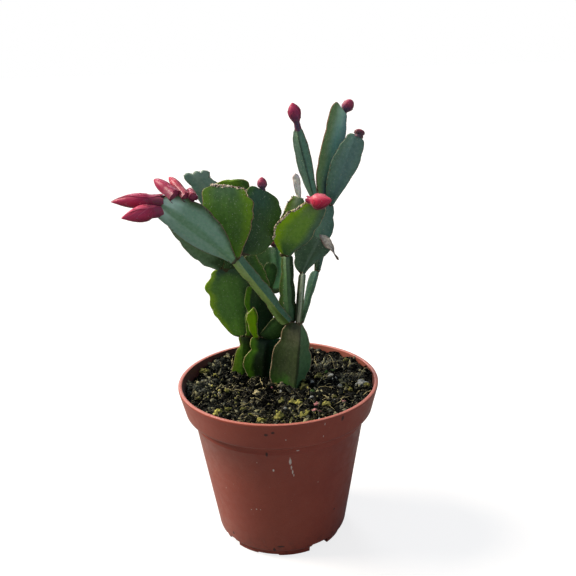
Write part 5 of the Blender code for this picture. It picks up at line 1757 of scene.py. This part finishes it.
def bristleAt(tubes, rng, point, outward, spread, length):
    lean = Vector((rng.gauss(0, 1), rng.gauss(0, 1), rng.gauss(0, 1))) * spread
    direction = (outward + lean).normalized()
    bend = lean * 0.25 * length
    path = [point, point + direction * length * 0.5 + bend * 0.4, point + direction * length + bend]
    tubes.append((*tube(path, areoles["bristleWidth"], 3), rng.uniform(0.2, 0.9)))


grownPads = [pad for pad in pads.values() if "on" in pad]


def feltTip(felt, bristles, rng, pad, wool):
    # cushions all along a pad's tip, about half of them with a bristle
    wide = halfWidth(pad, -1, 1.0) + halfWidth(pad, 1, 1.0)
    count = max(3, round(wide / areoles["tipStep"]))
    for i in range(count):
        u = -0.86 + 1.72 * i / (count - 1)
        point = padPoint(pad, u, 1.0) + pad["front"] * rng.uniform(-0.5, 0.6)
        point -= pad["along"] * 0.25
        size = areoles["felt"] * wool * rng.uniform(0.6, 1.25)
        tint = rng.random() ** 0.7 * min(1, 0.5 + 0.4 * wool)
        feltAt(felt, rng, point, pad["along"], pad["front"], size, tint)
        if rng.random() < 0.5:
            length = areoles["bristle"] * rng.uniform(0.5, 1.2)
            bristleAt(bristles, rng, point, pad["along"], 0.35, length)


def feltNicks(felt, bristles, rng, pad):
    # three cushions and three bristles in each notch
    for sign, nicks in zip((-1, 1), pad["nicks"]):
        outward = (pad["across"] * sign + pad["along"] * 0.5).normalized()
        for nick in nicks:
            for shift in (0, 0.6, -0.5):
                point = padPoint(pad, sign * 0.99, nick + shift / pad["length"])
                size = areoles["felt"] * rng.uniform(0.55, 0.95)
                feltAt(felt, rng, point, outward, pad["front"], size, rng.uniform(0.1, 0.7))
            for _ in range(3):
                bristleAt(bristles, rng, point, outward, 0.4, areoles["bristle"] * rng.uniform(0.5, 1.0))


def feltChain(felt, rng, name, sign, first, last, size, pale):
    # a woolly margin, with a few dark cushions in it
    pad = pads[name]
    start = padPoint(pad, sign or first, first if sign else 1.0)
    end = padPoint(pad, sign or last, last if sign else 1.0)
    count = round((end - start).length / areoles["chainStep"])
    outward = pad["across"] * sign if sign else pad["along"]
    for i in range(count):
        place = first + (last - first) * (i + rng.uniform(-0.4, 0.4)) / count
        u, share = (0.995 * sign, place) if sign else (place, 1.0)
        point = padPoint(pad, u, share) + pad["front"] * rng.uniform(0.3, 0.85)
        point += outward * rng.uniform(-0.75, 0.3) * size
        tint = pale * rng.uniform(0.6, 1.05) if rng.random() > 0.16 else rng.uniform(0, 0.2)
        feltAt(felt, rng, point, outward, pad["front"], size * rng.uniform(0.6, 1.25), min(1.0, tint))


def feltRidge(felt, rng, name, u, first, last, step):
    # single areoles up the front ridge of a stalk
    pad = pads[name]
    count = round((last - first) * pad["length"] / step)
    for i in range(count):
        point = onFront(pad, u, first + (last - first) * (i + rng.uniform(0, 0.5)) / count)
        size = rng.uniform(0.35, 0.6)
        feltAt(felt, rng, point, pad["front"], pad["along"], size, rng.uniform(0.1, 0.6))


def feltFoot(felt, rng, pad):
    # scurf in front of a joint
    for _ in range(3):
        shift = pad["across"] * rng.uniform(-0.8, 0.8) + pad["front"] * rng.uniform(0.6, 1.3)
        point = pad["foot"] - pad["along"] * (pad["neck"] - 0.2) + shift
        size = rng.uniform(0.5, 0.9)
        feltAt(felt, rng, point, pad["along"], pad["front"], size, rng.uniform(0.2, 0.7))


def makeAreoles(rng):
    felt, bristles = [], []
    for name, pad in pads.items():
        feltTip(felt, bristles, rng, pad, woolly.get(name, 0.7))
        feltNicks(felt, bristles, rng, pad)
    for chain in chains:
        feltChain(felt, rng, *chain)
    for ridge in ridges:
        feltRidge(felt, rng, *ridge)
    for pad in grownPads:
        feltFoot(felt, rng, pad)
    models = [lump(1, 0.5, 3.0), lump(1, 0.7, 8.0)]
    piece = scatter("areoleFelt", models, felt)
    forget(models)
    finishPiece(piece, "areoleFelt", [], feltFinish())
    piece = joinTubes("areoleBristles", bristles)
    finishPiece(piece, "areoleBristles", [], strandFinish())


def makeJoints(rng):
    # a corky joint where each pad grew from another
    cork = []
    for pad in grownPads:
        side, front, along = pad["across"], pad["front"], pad["along"]
        wide = 2 * min(pad["neck"], halfWidth(pad, -1, 0.0) + 0.6)
        matrix = Matrix((side * wide, front * wide * 0.8, along * 1.3)).transposed()
        cork.append((0, matrix, pad["foot"] - along * (pad["neck"] + 0.1), rng.random()))
    models = [lump(3, 0.35, 5.0)]
    piece = scatter("jointCork", models, cork)
    forget(models)
    finishPiece(piece, "jointCork", [], corkFinish())


areoleDraws = random.Random(areoles["seed"])
makeAreoles(areoleDraws)
makeJoints(areoleDraws)
print("areoles and joints made")
